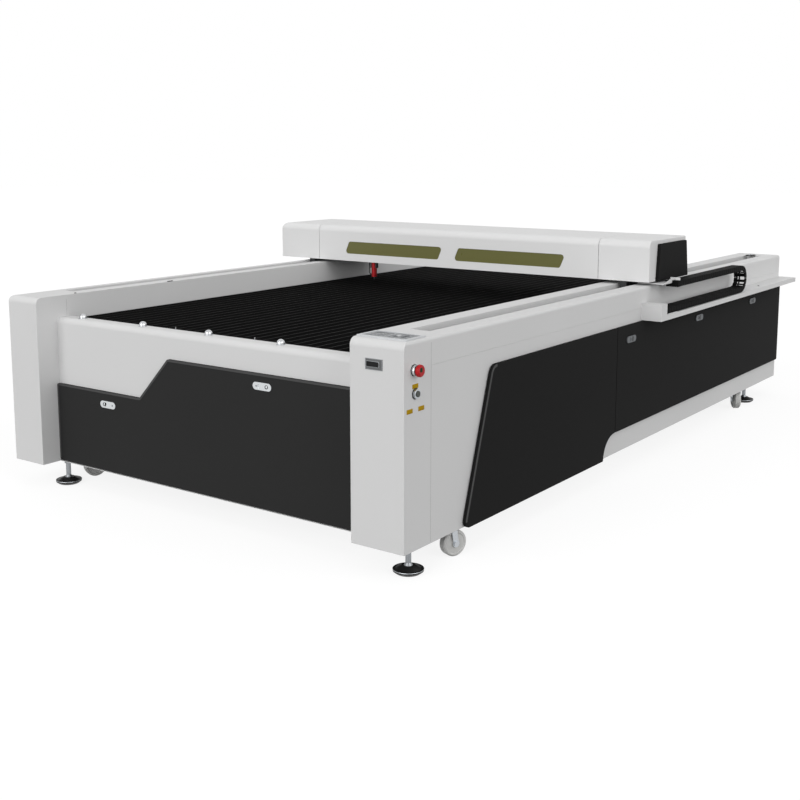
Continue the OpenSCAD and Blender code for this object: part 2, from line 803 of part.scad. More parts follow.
// Shelf for the cable chain on the right side, with a box at its front end
module chain_tray() color("#c2c2c2") {
    x1 = x_right + tray_w;
    y0 = y_front + tray_start;
    along_y(y0, y_back) {
        translate([x_right, tray_z - sheet]) square([tray_w, sheet]);
        translate([x1 - sheet, tray_z - tray_h]) square([sheet, tray_h]);
        translate([x_right, tray_z - tray_h]) square([sheet, tray_h]);
    }
    difference() {
        block([x_right, y0, tray_z - tray_h], [x1, chain_y_fixed, chain_z0 + link_h + 21]);
        block([x_right + sheet, y0 + sheet, tray_z - tray_h - eps],
              [x1 - sheet, chain_y_fixed - sheet, chain_z0 + link_h + 21 - sheet]);
    }
    block([chain_x0, chain_y_fixed, tray_z], [chain_x1, chain_y_fixed + 120, chain_z0]);
}

// Transfer balls in their cups and the two locating pins on the apron's ledge
module apron_fittings() color("#e8e8e8") {
    for (i = [0:3])
        translate([x_right - ball_first - i * ball_pitch, apron_y + 38, apron_top]) {
            difference() {
                translate([0, 0, ball_d / 6]) sphere(d = ball_d);
                translate([0, 0, -ball_d]) cube([2 * ball_d, 2 * ball_d, 2 * ball_d], center = true);
            }
            cylinder(d = ball_d + 5, h = 2);
        }
    for (x = locating_pins)
        translate([x_right - x, apron_y + 53, apron_top]) cylinder(d = 3, h = 10);
}
locating_pins = [772, 1181];

// ---- Guides and drive of the gantry ----

// Guide rails, the idlers' forks with their pins at the front, and the shaft's bearing blocks
module y_guides() color("#b8bcc0") {
    for (x = [rail_x_right, rail_x_left]) {
        block([x - rail_w / 2, slot_y0 + 5, rail_z], [x + rail_w / 2, slot_y1 - 20, rail_z + rail_h]);
        difference() {
            block([x - 8, shaft_y - 20, rail_z], [x + 8, shaft_y + 20, pulley_z + 22]);
            rod_x(x - 9, x + 9, shaft_y, pulley_z, shaft_d / 2 + fit);
        }
    }
    for (x = [belt_x_right, belt_x_left]) {
        for (s = [-1, 1])
            block([x + s * (pulley_w / 2 + 3) - 2, idler_y - 14, rail_z],
                  [x + s * (pulley_w / 2 + 3) + 2, idler_y + 14, pulley_z + 10]);
        rod_x(x - pulley_w / 2 - 5, x + pulley_w / 2 + 5, idler_y, pulley_z, axle_r);
    }
}

// Belt loop around two pulleys, drawn in the plane of the belt between u0 and u1
module belt_loop(u0, u1, v, r) {
    difference() {
        belt_disc(u0, u1, v, r + clear + belt_t);
        belt_disc(u0, u1, v, r + clear);
    }
}

module belt_disc(u0, u1, v, r) {
    translate([u0, v]) circle(r);
    translate([u1, v]) circle(r);
    translate([u0, v - r]) square([u1 - u0, 2 * r]);
}

module y_belts() color("#1b1b1b") {
    for (x = [belt_x_right, belt_x_left])
        along_x(x - belt_w / 2, x + belt_w / 2) belt_loop(idler_y, shaft_y, pulley_z, pulley_r);
}

// Flanged pulley of width w along +Z, before it is drilled
module pulley_body(r, w) {
    cylinder(r = r, h = w);
    cylinder(r = r + 2.5, h = 1);
    translate([0, 0, w - 1]) cylinder(r = r + 2.5, h = 1);
}
pulley_w = belt_w + 4;

// Pulley on an axis along X
module pulley_x(x, y)
    translate([x - pulley_w / 2, y, pulley_z]) rotate([0, 90, 0]) pulley_body(pulley_r, pulley_w);

module idler_pulleys() color("#9ea2a6") {
    for (x = [belt_x_right, belt_x_left])
        difference() {
            pulley_x(x, idler_y);
            rod_x(x - pulley_w, x + pulley_w, idler_y, pulley_z, axle_r + fit);
        }
}

// Shaft with both drive pulleys, its right end in the gear motor
module drive_shaft() color("#9ea2a6") {
    rod_x(rail_x_left - 12, gear_x0 + gear_bore - 1, shaft_y, pulley_z, shaft_d / 2);
    for (x = [belt_x_right, belt_x_left]) pulley_x(x, shaft_y);
}

// Base plate with the supply and control boxes, the power inlet, and the gear motor of the shaft
module electrics() color("#4b4d50") {
    y0 = cross_y(cross_n - 2) - tube / 2;
    y1 = cross_y(cross_n - 1) + tube / 2;
    ym = (y0 + y1) / 2;
    x0 = x_right - electrics_in - electrics_w;
    x1 = x_right - electrics_in;
    block([x0, y0, post_z], [x1, y1, post_z + 4]);
    block([x0 + 20, y0 + 20, post_z + 4], [x1 - 20, ym - 20, post_z + supply_h]);
    block([x0 + 20, ym + 20, post_z + 4], [x1 - 20, y1 - 20, post_z + control_h]);
    translate([(x0 + x1) / 2, 0, post_z + 20]) difference() {
        block([-40, y_back, -30], [40, y_back + 12, 30]);
        block([-24, y_back + 4, -12], [24, y_back + 13, 12]);
    }
    gear_motor();
}

// Gear motor on the rear panel in the right rail box, bored for the shaft's end
module gear_motor() {
    x1 = x_right - sheet - 3;
    y0 = y_back - sheet - 75;
    difference() {
        union() {
            block([gear_x0, y0, pulley_z - 35], [x1, y_back - sheet, pulley_z + 35]);
            block([gear_x0 + 5, y0 + 5, pulley_z - 190], [x1 - 5, y0 + 65, pulley_z - 35]);
        }
        rod_x(gear_x0 - eps, gear_x0 + gear_bore, shaft_y, pulley_z, shaft_d / 2 + fit);
    }
}
gear_x0 = x_right - slot_in_right + sheet + 4;
gear_bore = 30;

// ---- Feet and casters ----

feet = [
    [x_right - foot_in_right, y_front + foot_front_right], [long_x_left, y_front + foot_front_left],
    [x_right - foot_in_right, y_front + foot_rear], [long_x_left, y_front + foot_rear]
];
pad_bevel = 8;
pad_h = 16;
pad_top = 27;
stem_r = 10;
thread_r = 8;
nut_r = 15;
nut_h = 12;
nut_z = body_bottom - clear - nut_h;

// Rubber pads, narrower at the floor, with a domed top
module foot_pads() color("#1d1d1d") {
    for (p = feet) translate([p[0], p[1], 0]) {
        cylinder(d1 = pad_foot_d - 22, d2 = pad_foot_d, h = pad_bevel);
        translate([0, 0, pad_bevel]) cylinder(d = pad_foot_d, h = pad_h - pad_bevel);
        translate([0, 0, pad_h])
            cylinder(d1 = pad_foot_d - 16, d2 = pad_foot_d / 2 - 6, h = pad_top - pad_h);
    }
}

// Threaded stems with a cone on the pad and a hexagon nut just under the body
module foot_stems() color("#c8cacc") {
    for (p = feet) translate([p[0], p[1], 0]) {
        translate([0, 0, pad_top]) cylinder(r1 = stem_r + 5, r2 = stem_r, h = 9);
        translate([0, 0, pad_top]) cylinder(r = stem_r, h = nut_z - pad_top);
        translate([0, 0, nut_z]) cylinder(r = nut_r, h = nut_h, $fn = 6);
        translate([0, 0, nut_z + nut_h]) cylinder(r = thread_r, h = long_z - nut_z - nut_h);
    }
}

leg_in = wheel_w / 2 + 2;
leg_t = 3;
leg_half = 11;
fork_x = leg_in + leg_t;
fork_r = norm([fork_x, leg_half]);
fork_z = long_z - caster_plate - 5;
race_r = 16;
kingpin_r = 5;
wheel_axle_r = 6;
bolt_r = 10;
caster_x_right = x_right - max(caster_in_right, fork_r + sheet + clear);
casters = [
    [caster_x_right, y_front + caster_front_right, swivel_front],
    [long_x_left, y_front + caster_front_left, swivel_front],
    [caster_x_right, y_front + caster_front_right + caster_base, swivel_rear],
    [long_x_left, y_front + caster_front_left + caster_base, swivel_rear]
];

// Caster's own frame: the swivel axis in the origin, the wheel's axle along X
module at_caster(c) translate([c[0], c[1], 0]) rotate([0, 0, c[2]]) children();

// Screwed-on top plates with the kingpins
module caster_plates() color("#4a4a4a") {
    for (c = casters) translate([c[0], c[1], 0]) {
        block([-fork_x, -42, long_z - caster_plate], [fork_x, 42, long_z]);
        translate([0, 0, fork_z]) cylinder(r = kingpin_r, h = caster_plate + 5);
    }
}

// Leg of a fork in (Y, Z), straight down to the axle
module fork_leg() {
    translate([caster_trail, wheel_d / 2]) circle(bolt_r + 3);
    polygon([[-leg_half, fork_z + 2.5], [caster_trail - leg_half, wheel_d / 2],
             [caster_trail + leg_half, wheel_d / 2], [leg_half, fork_z + 2.5]]);
}

// Fork that turns on the kingpin: crown, race, two legs, axle and bolt heads
module caster_fork(c) color("#6a6c6e") at_caster(c) {
    difference() {
        union() {
            intersection() {
                translate([0, 0, fork_z]) cylinder(r = fork_r, h = 2.5);
                block([-fork_x, -fork_x, fork_z], [fork_x, fork_x, fork_z + 3]);
            }
            translate([0, 0, fork_z]) cylinder(r = race_r, h = 5 - clear);
        }
        translate([0, 0, fork_z - eps]) cylinder(r = kingpin_r + fit, h = 8);
    }
    along_x(-fork_x, -leg_in) fork_leg();
    along_x(leg_in, fork_x) fork_leg();
    rod_x(-fork_x, fork_x, caster_trail, wheel_d / 2, wheel_axle_r);
    rod_x(-fork_x - 4, -fork_x, caster_trail, wheel_d / 2, bolt_r);
    rod_x(fork_x, fork_x + 4, caster_trail, wheel_d / 2, bolt_r);
}

module fork_front_right() caster_fork(casters[0]);
module fork_front_left() caster_fork(casters[1]);
module fork_rear_right() caster_fork(casters[2]);
module fork_rear_left() caster_fork(casters[3]);

// Nylon wheel turned about its axle
module caster_wheel(c) color("#c8c8c8") at_caster(c) {
    r = wheel_d / 2;
    h = wheel_w / 2;
    translate([0, caster_trail, r]) rotate([0, 90, 0]) difference() {
        rotate_extrude() polygon([
            [0, -h], [wheel_axle_r + 8, -h], [wheel_axle_r + 10, -h + 3], [r - 12, -h + 3], [r - 9, -h],
            [r - 5, -h], [r, -h + 5], [r, h - 5], [r - 5, h], [r - 9, h], [r - 12, h - 3],
            [wheel_axle_r + 10, h - 3], [wheel_axle_r + 8, h], [0, h]
        ]);
        cylinder(r = wheel_axle_r + fit, h = wheel_w + 2 * eps, center = true);
    }
}

module wheel_front_right() caster_wheel(casters[0]);
module wheel_front_left() caster_wheel(casters[1]);
module wheel_rear_right() caster_wheel(casters[2]);
module wheel_rear_left() caster_wheel(casters[3]);

// ---- Controls ----

stop_at = [y_front + stop_in, body_top - 93];
start_at = [y_front + start_in, body_top - 170];
stop_hole_r = 11;
start_hole_r = 13;
stop_stem_r = 8;
start_face_r = start_d / 2 - 5.5;
pad_rim = 11;
pad_up = 5;
pad_x0 = x_right - (col_w_right + pad_w) / 2 - 4;
pad_y0 = y_front + col_front_r + 3;
pad_body = 14;
lock_x = x_right - 117.5;
lock_z = body_top - 79;
lock_rim = 2.5;
lock_body = 12;
lever_pin = [lock_x + lock_w / 2 - 18.5, y_front + 3];
lever_r = 3;
lever_h = 14;
lever_pin_r = 1.5;

// Collars of the stop and start buttons, through the right column's outer wall
module button_collars() color("#b9bbbd") {
    difference() {
        union() {
            rod_x(x_right, x_right + 10, stop_at[0], stop_at[1], 15);
            rod_x(x_right - 14, x_right, stop_at[0], stop_at[1], stop_hole_r - clear);
            rod_x(x_right, x_right + start_out - 5, start_at[0], start_at[1], start_d / 2);
            rod_x(x_right - 14, x_right, start_at[0], start_at[1], start_hole_r - clear);
        }
        rod_x(x_right - 15, x_right + 11, stop_at[0], stop_at[1], stop_stem_r + fit);
        rod_x(x_right - 15, x_right + start_out, start_at[0], start_at[1], start_face_r + fit);
    }
}

// Mushroom head on its stem
module stop_head() color("#b3161b") {
    x1 = x_right + stop_out;
    rod_x(x_right - 20, x_right + 16, stop_at[0], stop_at[1], stop_stem_r);
    translate([x_right + 16, stop_at[0], stop_at[1]]) rotate([0, 90, 0])
        rotate_extrude() polygon([
            [0, 0], [stop_d / 2 - 3, 0], [stop_d / 2, 3], [stop_d / 2, stop_out - 21],
            [stop_d / 2 - 1.5, stop_out - 18], [stop_d / 2 - 5, stop_out - 16], [0, stop_out - 16]
        ]);
}

module start_button() color("#5d6b60")
    rod_x(x_right - 12, x_right + start_out, start_at[0], start_at[1], start_face_r);

// Keypad panel let into the right column's top: raised rim, field, screen, key stripe and keys
module control_panel() color("#8f9396") {
    a = [pad_x0, pad_y0, body_top];
    field = pad_up - 1.5;
    key = (pad_d - 2 * pad_rim - 20) / 4;
    difference() {
        union() {
            block(a, a + [pad_w, pad_d, pad_up]);
            block(a + [pad_rim + clear, pad_rim + clear, -pad_body],
                  a + [pad_w - pad_rim - clear, pad_d - pad_rim - clear, 0]);
        }
        block(a + [pad_rim, pad_rim, field], a + [pad_w - pad_rim, pad_d - pad_rim, pad_up + eps]);
        block(a + [20, 46, field - 1], a + [88, pad_d - 18, pad_up]);
    }
    for (i = [0:4], j = [0:3])
        translate(a + [99 + i * 16, 17 + j * (key + 4), field]) cube([11, key, 1]);
    for (i = [0:3]) translate(a + [22 + i * 17, 20, field]) cube([12, key, 1]);
}

// Flush lock: flange, body through the front sheet, lever pocket with its pin, and push button
module latch_plate() color("#4b4e52") {
    y = y_front;
    rim_w = lock_w - 2 * (lock_rim + clear);
    rim_h = lock_h - 2 * (lock_rim + clear);
    difference() {
        union() {
            block([lock_x - lock_w / 2, y - 2, lock_z - lock_h / 2],
                  [lock_x + lock_w / 2, y, lock_z + lock_h / 2]);
            block([lock_x - rim_w / 2, y, lock_z - rim_h / 2],
                  [lock_x + rim_w / 2, y + lock_body, lock_z + rim_h / 2]);
        }
        block([lock_x - lock_w / 2 + 4, y - 3, lock_z - lever_h / 2 - 1],
              [lever_pin[0] + lever_r + 0.5, y + 8, lock_z + lever_h / 2 + 1]);
    }
    translate([lever_pin[0], lever_pin[1], lock_z - lever_h / 2 - 2])
        cylinder(r = lever_pin_r, h = lever_h + 4);
    rod_y(y - lock_proud, y, lock_x + lock_w / 2 - 8, lock_z, 5);
}

// Lever in the lock's pocket, drilled for its pin
module latch_lever() color("#6a6d70") {
    difference() {
        union() {
            block([lock_x - lock_w / 2 + 5.5, y_front, lock_z - lever_h / 2],
                  [lever_pin[0], y_front + 2 * lever_r, lock_z + lever_h / 2]);
            translate([lever_pin[0], lever_pin[1], lock_z - lever_h / 2])
                cylinder(r = lever_r, h = lever_h);
        }
        translate([lever_pin[0], lever_pin[1], lock_z - lever_h])
            cylinder(r = lever_pin_r + fit, h = 2 * lever_h);
    }
}

// ---- Doors ----

module front_door() color("#2f2f2f") at_front() difference() {
    door(door_outline(), front_hinges, door_z0);
    latch_hole(front_latch_low[0], front_latch_low[1]);
    latch_hole(front_latch_high[0], front_latch_high[1]);
}

module front_latches() color("#c9ccce") at_front() {
    pill_latch(front_latch_low[0], front_latch_low[1]);
    pill_latch(front_latch_high[0], front_latch_high[1]);
}

side_hinges = [for (i = [side_hinge_first:cross_n - 1]) cross_y(i) - y_front];

module side_door() color("#262626") at_right() difference() {
    door(side_door_outline(), side_hinges, step_z);
    for (x = side_latch_x) latch_hole(x, side_latch_z);
}

module side_latches() color("#c9ccce") at_right() for (x = side_latch_x) pill_latch(x, side_latch_z);

// ---- Cable chain ----

// Straight run of links between y0 and y1, its underside at z
module chain_run(y0, y1, z) {
    n = floor((y1 - y0) / link_len);
    pitch = (y1 - y0) / n;
    block([chain_x0 + core_in, y0, z + core_in], [chain_x1 - core_in, y1, z + link_h - core_in]);
    for (i = [0:n - 1])
        block([chain_x0, y0 + i * pitch + 1, z], [chain_x1, y0 + (i + 1) * pitch - 1, z + link_h]);
}

module chain_lower() color("#141414") chain_run(chain_y_fixed, chain_y_bend, chain_z0);
module chain_upper() color("#141414") chain_run(chain_y_free, chain_y_bend, chain_z1 - link_h);

// Half turn of links that rolls between the two runs
module chain_bend() color("#141414") {
    n = round(PI * bend_r / link_len);
    r0 = bend_r - link_h / 2;
    r1 = (bend_r + link_h / 2) * cos(90 / n);
    w0 = r0 * tan(90 / n) - 1;
    w1 = r1 * tan(90 / n) - 1;
    translate([chain_x0, chain_y_bend, bend_z]) rotate([0, 90, 0]) {
        rotate_extrude(angle = 180)
            translate([bend_r - link_h / 2 + core_in, core_in])
                square([link_h - 2 * core_in, chain_w - 2 * core_in]);
        for (i = [0:n - 1]) rotate([0, 0, (i + 0.5) * 180 / n])
            linear_extrude(chain_w) polygon([[r0, -w0], [r1, -w1], [r1, w1], [r0, w0]]);
    }
}

// ---- Gantry ----

// Cover's outline in (Y, Z), moved inwards by d
module cover_profile(d) difference() {
    translate([cover_y0 + d, cover_z0 - (d > 0 ? eps : 0)])
        square([cover_d - 2 * d, cover_h - d + (d > 0 ? eps : 0)]);
    corner_waste([cover_y0 + d, cover_z1 - d], cover_r - d, 1);
    corner_waste([cover_y1 - d, cover_z1 - d], cover_back_r - d, -1);
}
cover_back_r = 10;
cover_fold = 14;
cover_seam = 2;

// Section of the cover with its two lower folds
module cover_section() {
    difference() {
        cover_profile(0);
        cover_profile(sheet);
    }
    for (y = [cover_y0, cover_y1 - cover_fold]) translate([y, cover_z0]) square([cover_fold, sheet]);
}

// Window outline in (X, Z); x is the upper left corner's distance from the right outer face
function window_outline(x) =
    let (x0 = x_right - x, z0 = cover_z0 + window_up)
    [[x0 - window_lean, z0], [x0 - window_lean + window_w, z0], [x0 + window_w, z0 + window_h],
     [x0, z0 + window_h]];
window_lean = 27;
window_r = 14;
window_x = [1664, 989];

module cover_middle() color("#d3d3d3") difference() {
    along_x(cover_x0 + cover_w_left + cover_seam / 2, cover_x1 - cover_w_right - cover_seam / 2)
        cover_section();
    for (x = window_x)
        along_y(cover_y0 - eps, cover_y0 + sheet + eps) polygon(rounded(window_outline(x), window_r));
}

// End cover: the section closed by an end wall, its upper corner rounded by r
module cover_end(x0, x1, side, r) {
    difference() {
        intersection() {
            along_x(x0, x1) cover_profile(0);
            along_y(cover_y0, cover_y1)
                round_top([x0, cover_z0], [x1, cover_z1], r, low = side < 0, high = side > 0);
        }
        intersection() {
            along_x(x0 + (side < 0 ? sheet : -eps), x1 + (side < 0 ? eps : -sheet)) cover_profile(sheet);
            along_y(cover_y0 - eps, cover_y1 + eps)
                round_top([x0 + (side < 0 ? sheet : -eps), cover_z0 - 2 * eps],
                          [x1 + (side < 0 ? eps : -sheet), cover_z1 - sheet], r - sheet,
                          low = side < 0, high = side > 0);
        }
    }
    for (y = [cover_y0 + sheet, cover_y1 - cover_fold])
        block([x0 + sheet, y, cover_z0], [x1 - sheet, y + cover_fold - sheet, cover_z0 + sheet]);
}

module cover_ends() color("#d3d3d3") {
    cover_end(cover_x0, cover_x0 + cover_w_left - cover_seam / 2, -1, 30);
    cover_end(cover_x1 - cover_w_right + cover_seam / 2, cover_x1, 1, 6);
}

module window_panes() color("#63613a") {
    for (x = window_x)
        along_y(cover_y0 + sheet, cover_y0 + sheet + 3)
            polygon(rounded(inset(window_outline(x), -window_lap), window_r + window_lap));
}
window_lap = 10;

// Dark tapered pan over the gantry's right end
module end_cover() color("#272727") {
    y0 = cover_y0 + 68;
    outline = [
        [y0, cover_z0], [cover_y1 + 3, cover_z0], [cover_y1 - 22, cover_z1 - 19], [y0 + 15, cover_z1 - 19]
    ];
    difference() {
        along_x(cover_x1, cover_x1 + end_proud) polygon(rounded(outline, 6));
        along_x(cover_x1 - eps, cover_x1 + end_proud - sheet) polygon(rounded(inset(outline, sheet), 4));
    }
}
end_proud = 15;

// Rib on the beam that carries the covers at a seam, with a hole for the laser tube
module cover_rib(x) along_x(x - 5, x + 5) difference() {
    intersection() {
        cover_profile(sheet);
        union() {
            translate([beam_y0, beam_z1]) square([cover_d, cover_h]);
            translate([beam_y1, beam_z0]) square([cover_d, cover_h]);
        }
    }
    translate([glass_y, axis_z]) circle(glass_d / 2 + 6);
    translate([cover_y1 - cover_fold - 1, cover_z0]) square([cover_fold, 2 * sheet]);
}

// Aluminium box beam with its cover ribs and the cross belt's idler pin
module gantry_beam() color("#b4b8bc") {
    hollow([beam_x0, beam_y0, beam_z0], [beam_x1, beam_y1, beam_z1], 0, 6);
    cover_rib(cover_x0 + cover_w_left);
    cover_rib(cover_x1 - cover_w_right);
    rod_y(beam_y0 - 24, beam_y0, x_idler_x, x_pulley_z, x_axle_r);
}

// Saddle on one guide rail: neck, two carriages and belt jaws; belt_side is the belt's side
module saddle(x, belt_x) {
    ym = (beam_y0 + beam_y1) / 2;
    neck = carriage_w / 2 - 1;
    top = pulley_z + pulley_r + clear;
    block([x - neck, ym - saddle_len / 2, rail_z + carriage_h], [x + neck, ym + saddle_len / 2, beam_z0]);
    for (y = [ym - carriage_pitch / 2, ym + carriage_pitch / 2])
        difference() {
            block([x - carriage_w / 2, y - carriage_len / 2, rail_z + carriage_gap],
                  [x + carriage_w / 2, y + carriage_len / 2, rail_z + carriage_h]);
            block([x - rail_w / 2 - clear, y - carriage_len, rail_z],
                  [x + rail_w / 2 + clear, y + carriage_len, rail_z + rail_h + clear]);
        }
    difference() {
        block([x + neck, ym - 25, top - 10], [belt_x + belt_w / 2, ym + 25, top + belt_t + 9]);
        block([belt_x - belt_w / 2 - clear, ym - 26, top - clear],
              [belt_x + belt_w, ym + 26, top + belt_t + clear]);
    }
}

module saddles() color("#8f9397") {
    saddle(rail_x_right, belt_x_right);
    saddle(rail_x_left, belt_x_left);
}

// Plate under the beam that carries the chain's free end, stiffened by a tapered flange
module chain_bracket() color("#d0d0d0") {
    y0 = cover_y0 + 28;
    x1 = chain_x0 + chain_w / 2;
    z0 = body_top + (cover_gap - sheet) / 2;
    z1 = chain_z1 + 12;
    block([beam_x1 - 50, y0, z0], [x1, chain_y_free, z0 + sheet]);
    along_x(x1 - sheet, x1)
        polygon([
            [y0, z0], [chain_y_free, z0], [chain_y_free, z1], [chain_y_free - 30, z1], [y0, z0 + sheet]
        ]);
    block([beam_x1 - 50, beam_y0 + 5, z0 + sheet], [beam_x1 - 2, beam_y0 + 50, beam_z0]);
    block([x1 - 20, chain_y_free - 3, chain_z1 - link_h + 3], [chain_x1 - 3, chain_y_free, z1]);
}

// Glass tube with its two end electrodes
module laser_tube() color("#cfe0e6") {
    rod_x(glass_x0, glass_x0 + glass_len, glass_y, axis_z, glass_d / 2);
    rod_x(glass_x0 - 30, glass_x0 + glass_len + 30, glass_y, axis_z, 12);
}

mirror = 40;

// Cradles of the tube, the bridge with the two folding mirrors, and the cross drive's motor
module gantry_fittings() color("#55595c") {
    x_motor();
    for (x = [glass_x0 + cradle_in, glass_x0 + glass_len - cradle_in])
        difference() {
            union() {
                block([x - 15, beam_y1, beam_z1 - 27], [x + 15, glass_y + 45, axis_z - glass_d / 2 - 1]);
                block([x - 15, glass_y - 45, beam_z1 - 27], [x + 15, glass_y + 45, axis_z - 8]);
            }
            rod_x(x - 16, x + 16, glass_y, axis_z, glass_d / 2 + 0.3);
        }
    block([fold_x - mirror / 2, axis_y - mirror / 2, beam_z1],
          [fold_x + mirror / 2, glass_y + mirror / 2, axis_z - mirror / 2]);
    translate([fold_x, glass_y, axis_z - mirror / 2]) mirror_prism([[-1, 1], [-1, -1], [1, 1]]);
    translate([fold_x, axis_y, axis_z - mirror / 2]) mirror_prism([[-1, -1], [1, -1], [-1, 1]]);
}

// Prism whose long face is the mirror; the corners are in half widths
module mirror_prism(corners) linear_extrude(mirror) polygon(corners * mirror / 2);

module x_rail() color("#b8bcc0")
    block([beam_x0 + 25, beam_y0 - rail_h, x_rail_z - rail_w / 2],
          [beam_x1 - 10, beam_y0, x_rail_z + rail_w / 2]);

module x_belt() color("#1b1b1b")
    along_y(x_belt_y - x_belt_w / 2, x_belt_y + x_belt_w / 2)
        belt_loop(x_drive_x, x_idler_x, x_pulley_z, x_pulley_r);

// Motor at the beam's left end on its plate
module x_motor() difference() {
    union() {
        block([x_drive_x - 33, beam_y0 - 4, x_pulley_z - 30], [beam_x0 + 20, beam_y0, x_pulley_z + 18]);
        block([x_drive_x - 28, beam_y0, x_pulley_z - 28], [x_drive_x + 28, beam_y0 + 75, x_pulley_z + 28]);
    }
    rod_y(beam_y0 - 5, beam_y0 + 12, x_drive_x, x_pulley_z, x_axle_r + fit);
}

x_pulley_w = x_belt_w + 4;

// Pulley of the cross drive, its axis along Y
module x_pulley(x)
    translate([x, x_belt_y + x_pulley_w / 2, x_pulley_z]) rotate([90, 0, 0])
        pulley_body(x_pulley_r, x_pulley_w);

module x_drive_pulley() color("#9ea2a6") {
    x_pulley(x_drive_x);
    rod_y(x_belt_y - x_pulley_w / 2, beam_y0 + 10, x_drive_x, x_pulley_z, x_axle_r);
}

module x_idler_pulley() color("#9ea2a6") difference() {
    x_pulley(x_idler_x);
    rod_y(x_belt_y - x_pulley_w, x_belt_y + x_pulley_w, x_idler_x, x_pulley_z, x_axle_r + fit);
}

// ---- Head ----

// Plate with its carriage, belt jaws, focus tube ring and third mirror
module head_plate() color("#7c8084") {
    jaw = x_pulley_z - x_pulley_r - clear;
    difference() {
        union() {
            block([head_x - head_w / 2, plate_y, cover_z0 + 4],
                  [head_x + head_w / 2, plate_y + 10, axis_z - 8]);
            block([head_x - 31, plate_y + 10, x_rail_z - carriage_w / 2],
                  [head_x + 31, beam_y0 - carriage_gap, x_rail_z + carriage_w / 2]);
            block([head_x - 15, plate_y + 10, jaw - 6], [head_x + 15, x_belt_y + 7, jaw + 5]);
            block([head_x - 22, axis_y - 20, cover_z0 + 14], [head_x + 22, plate_y, cover_z0 + 44]);
            block([head_x - 20, axis_y - 8, cover_z0 - 31], [head_x + 20, axis_y + 8, cover_z0 + 14]);
        }
        block([head_x - 32, beam_y0 - rail_h - clear, x_rail_z - rail_w / 2 - clear],
              [head_x + 32, beam_y0, x_rail_z + rail_w / 2 + clear]);
        block([head_x - 16, x_belt_y - x_belt_w / 2 - clear, jaw - belt_t - clear],
              [head_x + 16, beam_y0, jaw + clear]);
        translate([head_x, axis_y, cover_z0 - 32]) cylinder(r = focus_d / 2 + fit, h = 90);
    }
    along_y(axis_y - mirror / 2, plate_y)
        translate([head_x, axis_z]) polygon([[1, 1], [-1, 1], [1, -1]] * mirror / 2);
}

module focus_tube() color("#b0262a") translate([head_x, axis_y, focus_z0]) difference() {
    cylinder(d = focus_d, h = focus_z1 - focus_z0);
    translate([0, 0, -eps]) cylinder(d = focus_d - 6, h = focus_z1 - focus_z0 + 2 * eps);
}

module nozzle() color("#c9cbcd") translate([head_x, axis_y, focus_z0 - nozzle_h]) difference() {
    cylinder(r1 = 4, r2 = focus_d / 2 - 1, h = nozzle_h);
    translate([0, 0, -eps]) cylinder(r1 = 1, r2 = focus_d / 2 - 4, h = nozzle_h + 2 * eps);
}

pipe_r = 3;
pipe_bend = 12;

// Bent air pipe from the upper to the lower end of the focus tube
module air_pipe() color("#161616") translate([head_x, axis_y, 0]) {
    xs = -focus_d / 2 - 0.3;
    xb = xs - 5;
    z0 = focus_z0 + 12;
    z1 = focus_z1 - 18;
    rod_x(xb, xs, 0, z0, pipe_r);
    rod_x(xb, xs, 0, z1, pipe_r);
    translate([xb - pipe_bend, 0, z0 + pipe_bend]) cylinder(r = pipe_r, h = z1 - z0 - 2 * pipe_bend);
    translate([xb, 0, z0 + pipe_bend]) rotate([90, 0, 0]) rotate([0, 0, 180])
        rotate_extrude(angle = 90) translate([pipe_bend, 0]) circle(pipe_r);
    translate([xb, 0, z1 - pipe_bend]) rotate([90, 0, 0]) rotate([0, 0, 90])
        rotate_extrude(angle = 90) translate([pipe_bend, 0]) circle(pipe_r);
}

frame_lengthwise();
frame_cross_tubes();
bed_supports();
columns();
front_apron();
rail_boxes();
side_sheets();
side_panel_right();
side_panel_left();
rear_panel();
bed_blades();
dust_tray();
chain_tray();
apron_fittings();
y_guides();
y_belts();
electrics();
foot_pads();
foot_stems();
caster_plates();
button_collars();
control_panel();
latch_plate();
chain_lower();
front_door();
front_latches();
side_door();
side_latches();
latch_lever();
stop_head();
start_button();
fork_front_right();
fork_front_left();
fork_rear_right();
fork_rear_left();
wheel_front_right();
wheel_front_left();
wheel_rear_right();
wheel_rear_left();
idler_pulleys();
drive_shaft();
gantry_beam();
saddles();
cover_middle();
cover_ends();
window_panes();
end_cover();
chain_bracket();
chain_upper();
chain_bend();
laser_tube();
gantry_fittings();
x_rail();
x_belt();
x_drive_pulley();
x_idler_pulley();
head_plate();
focus_tube();
nozzle();
air_pipe();
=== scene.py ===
"""Flat-bed laser cutter: camera, light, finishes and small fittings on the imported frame."""

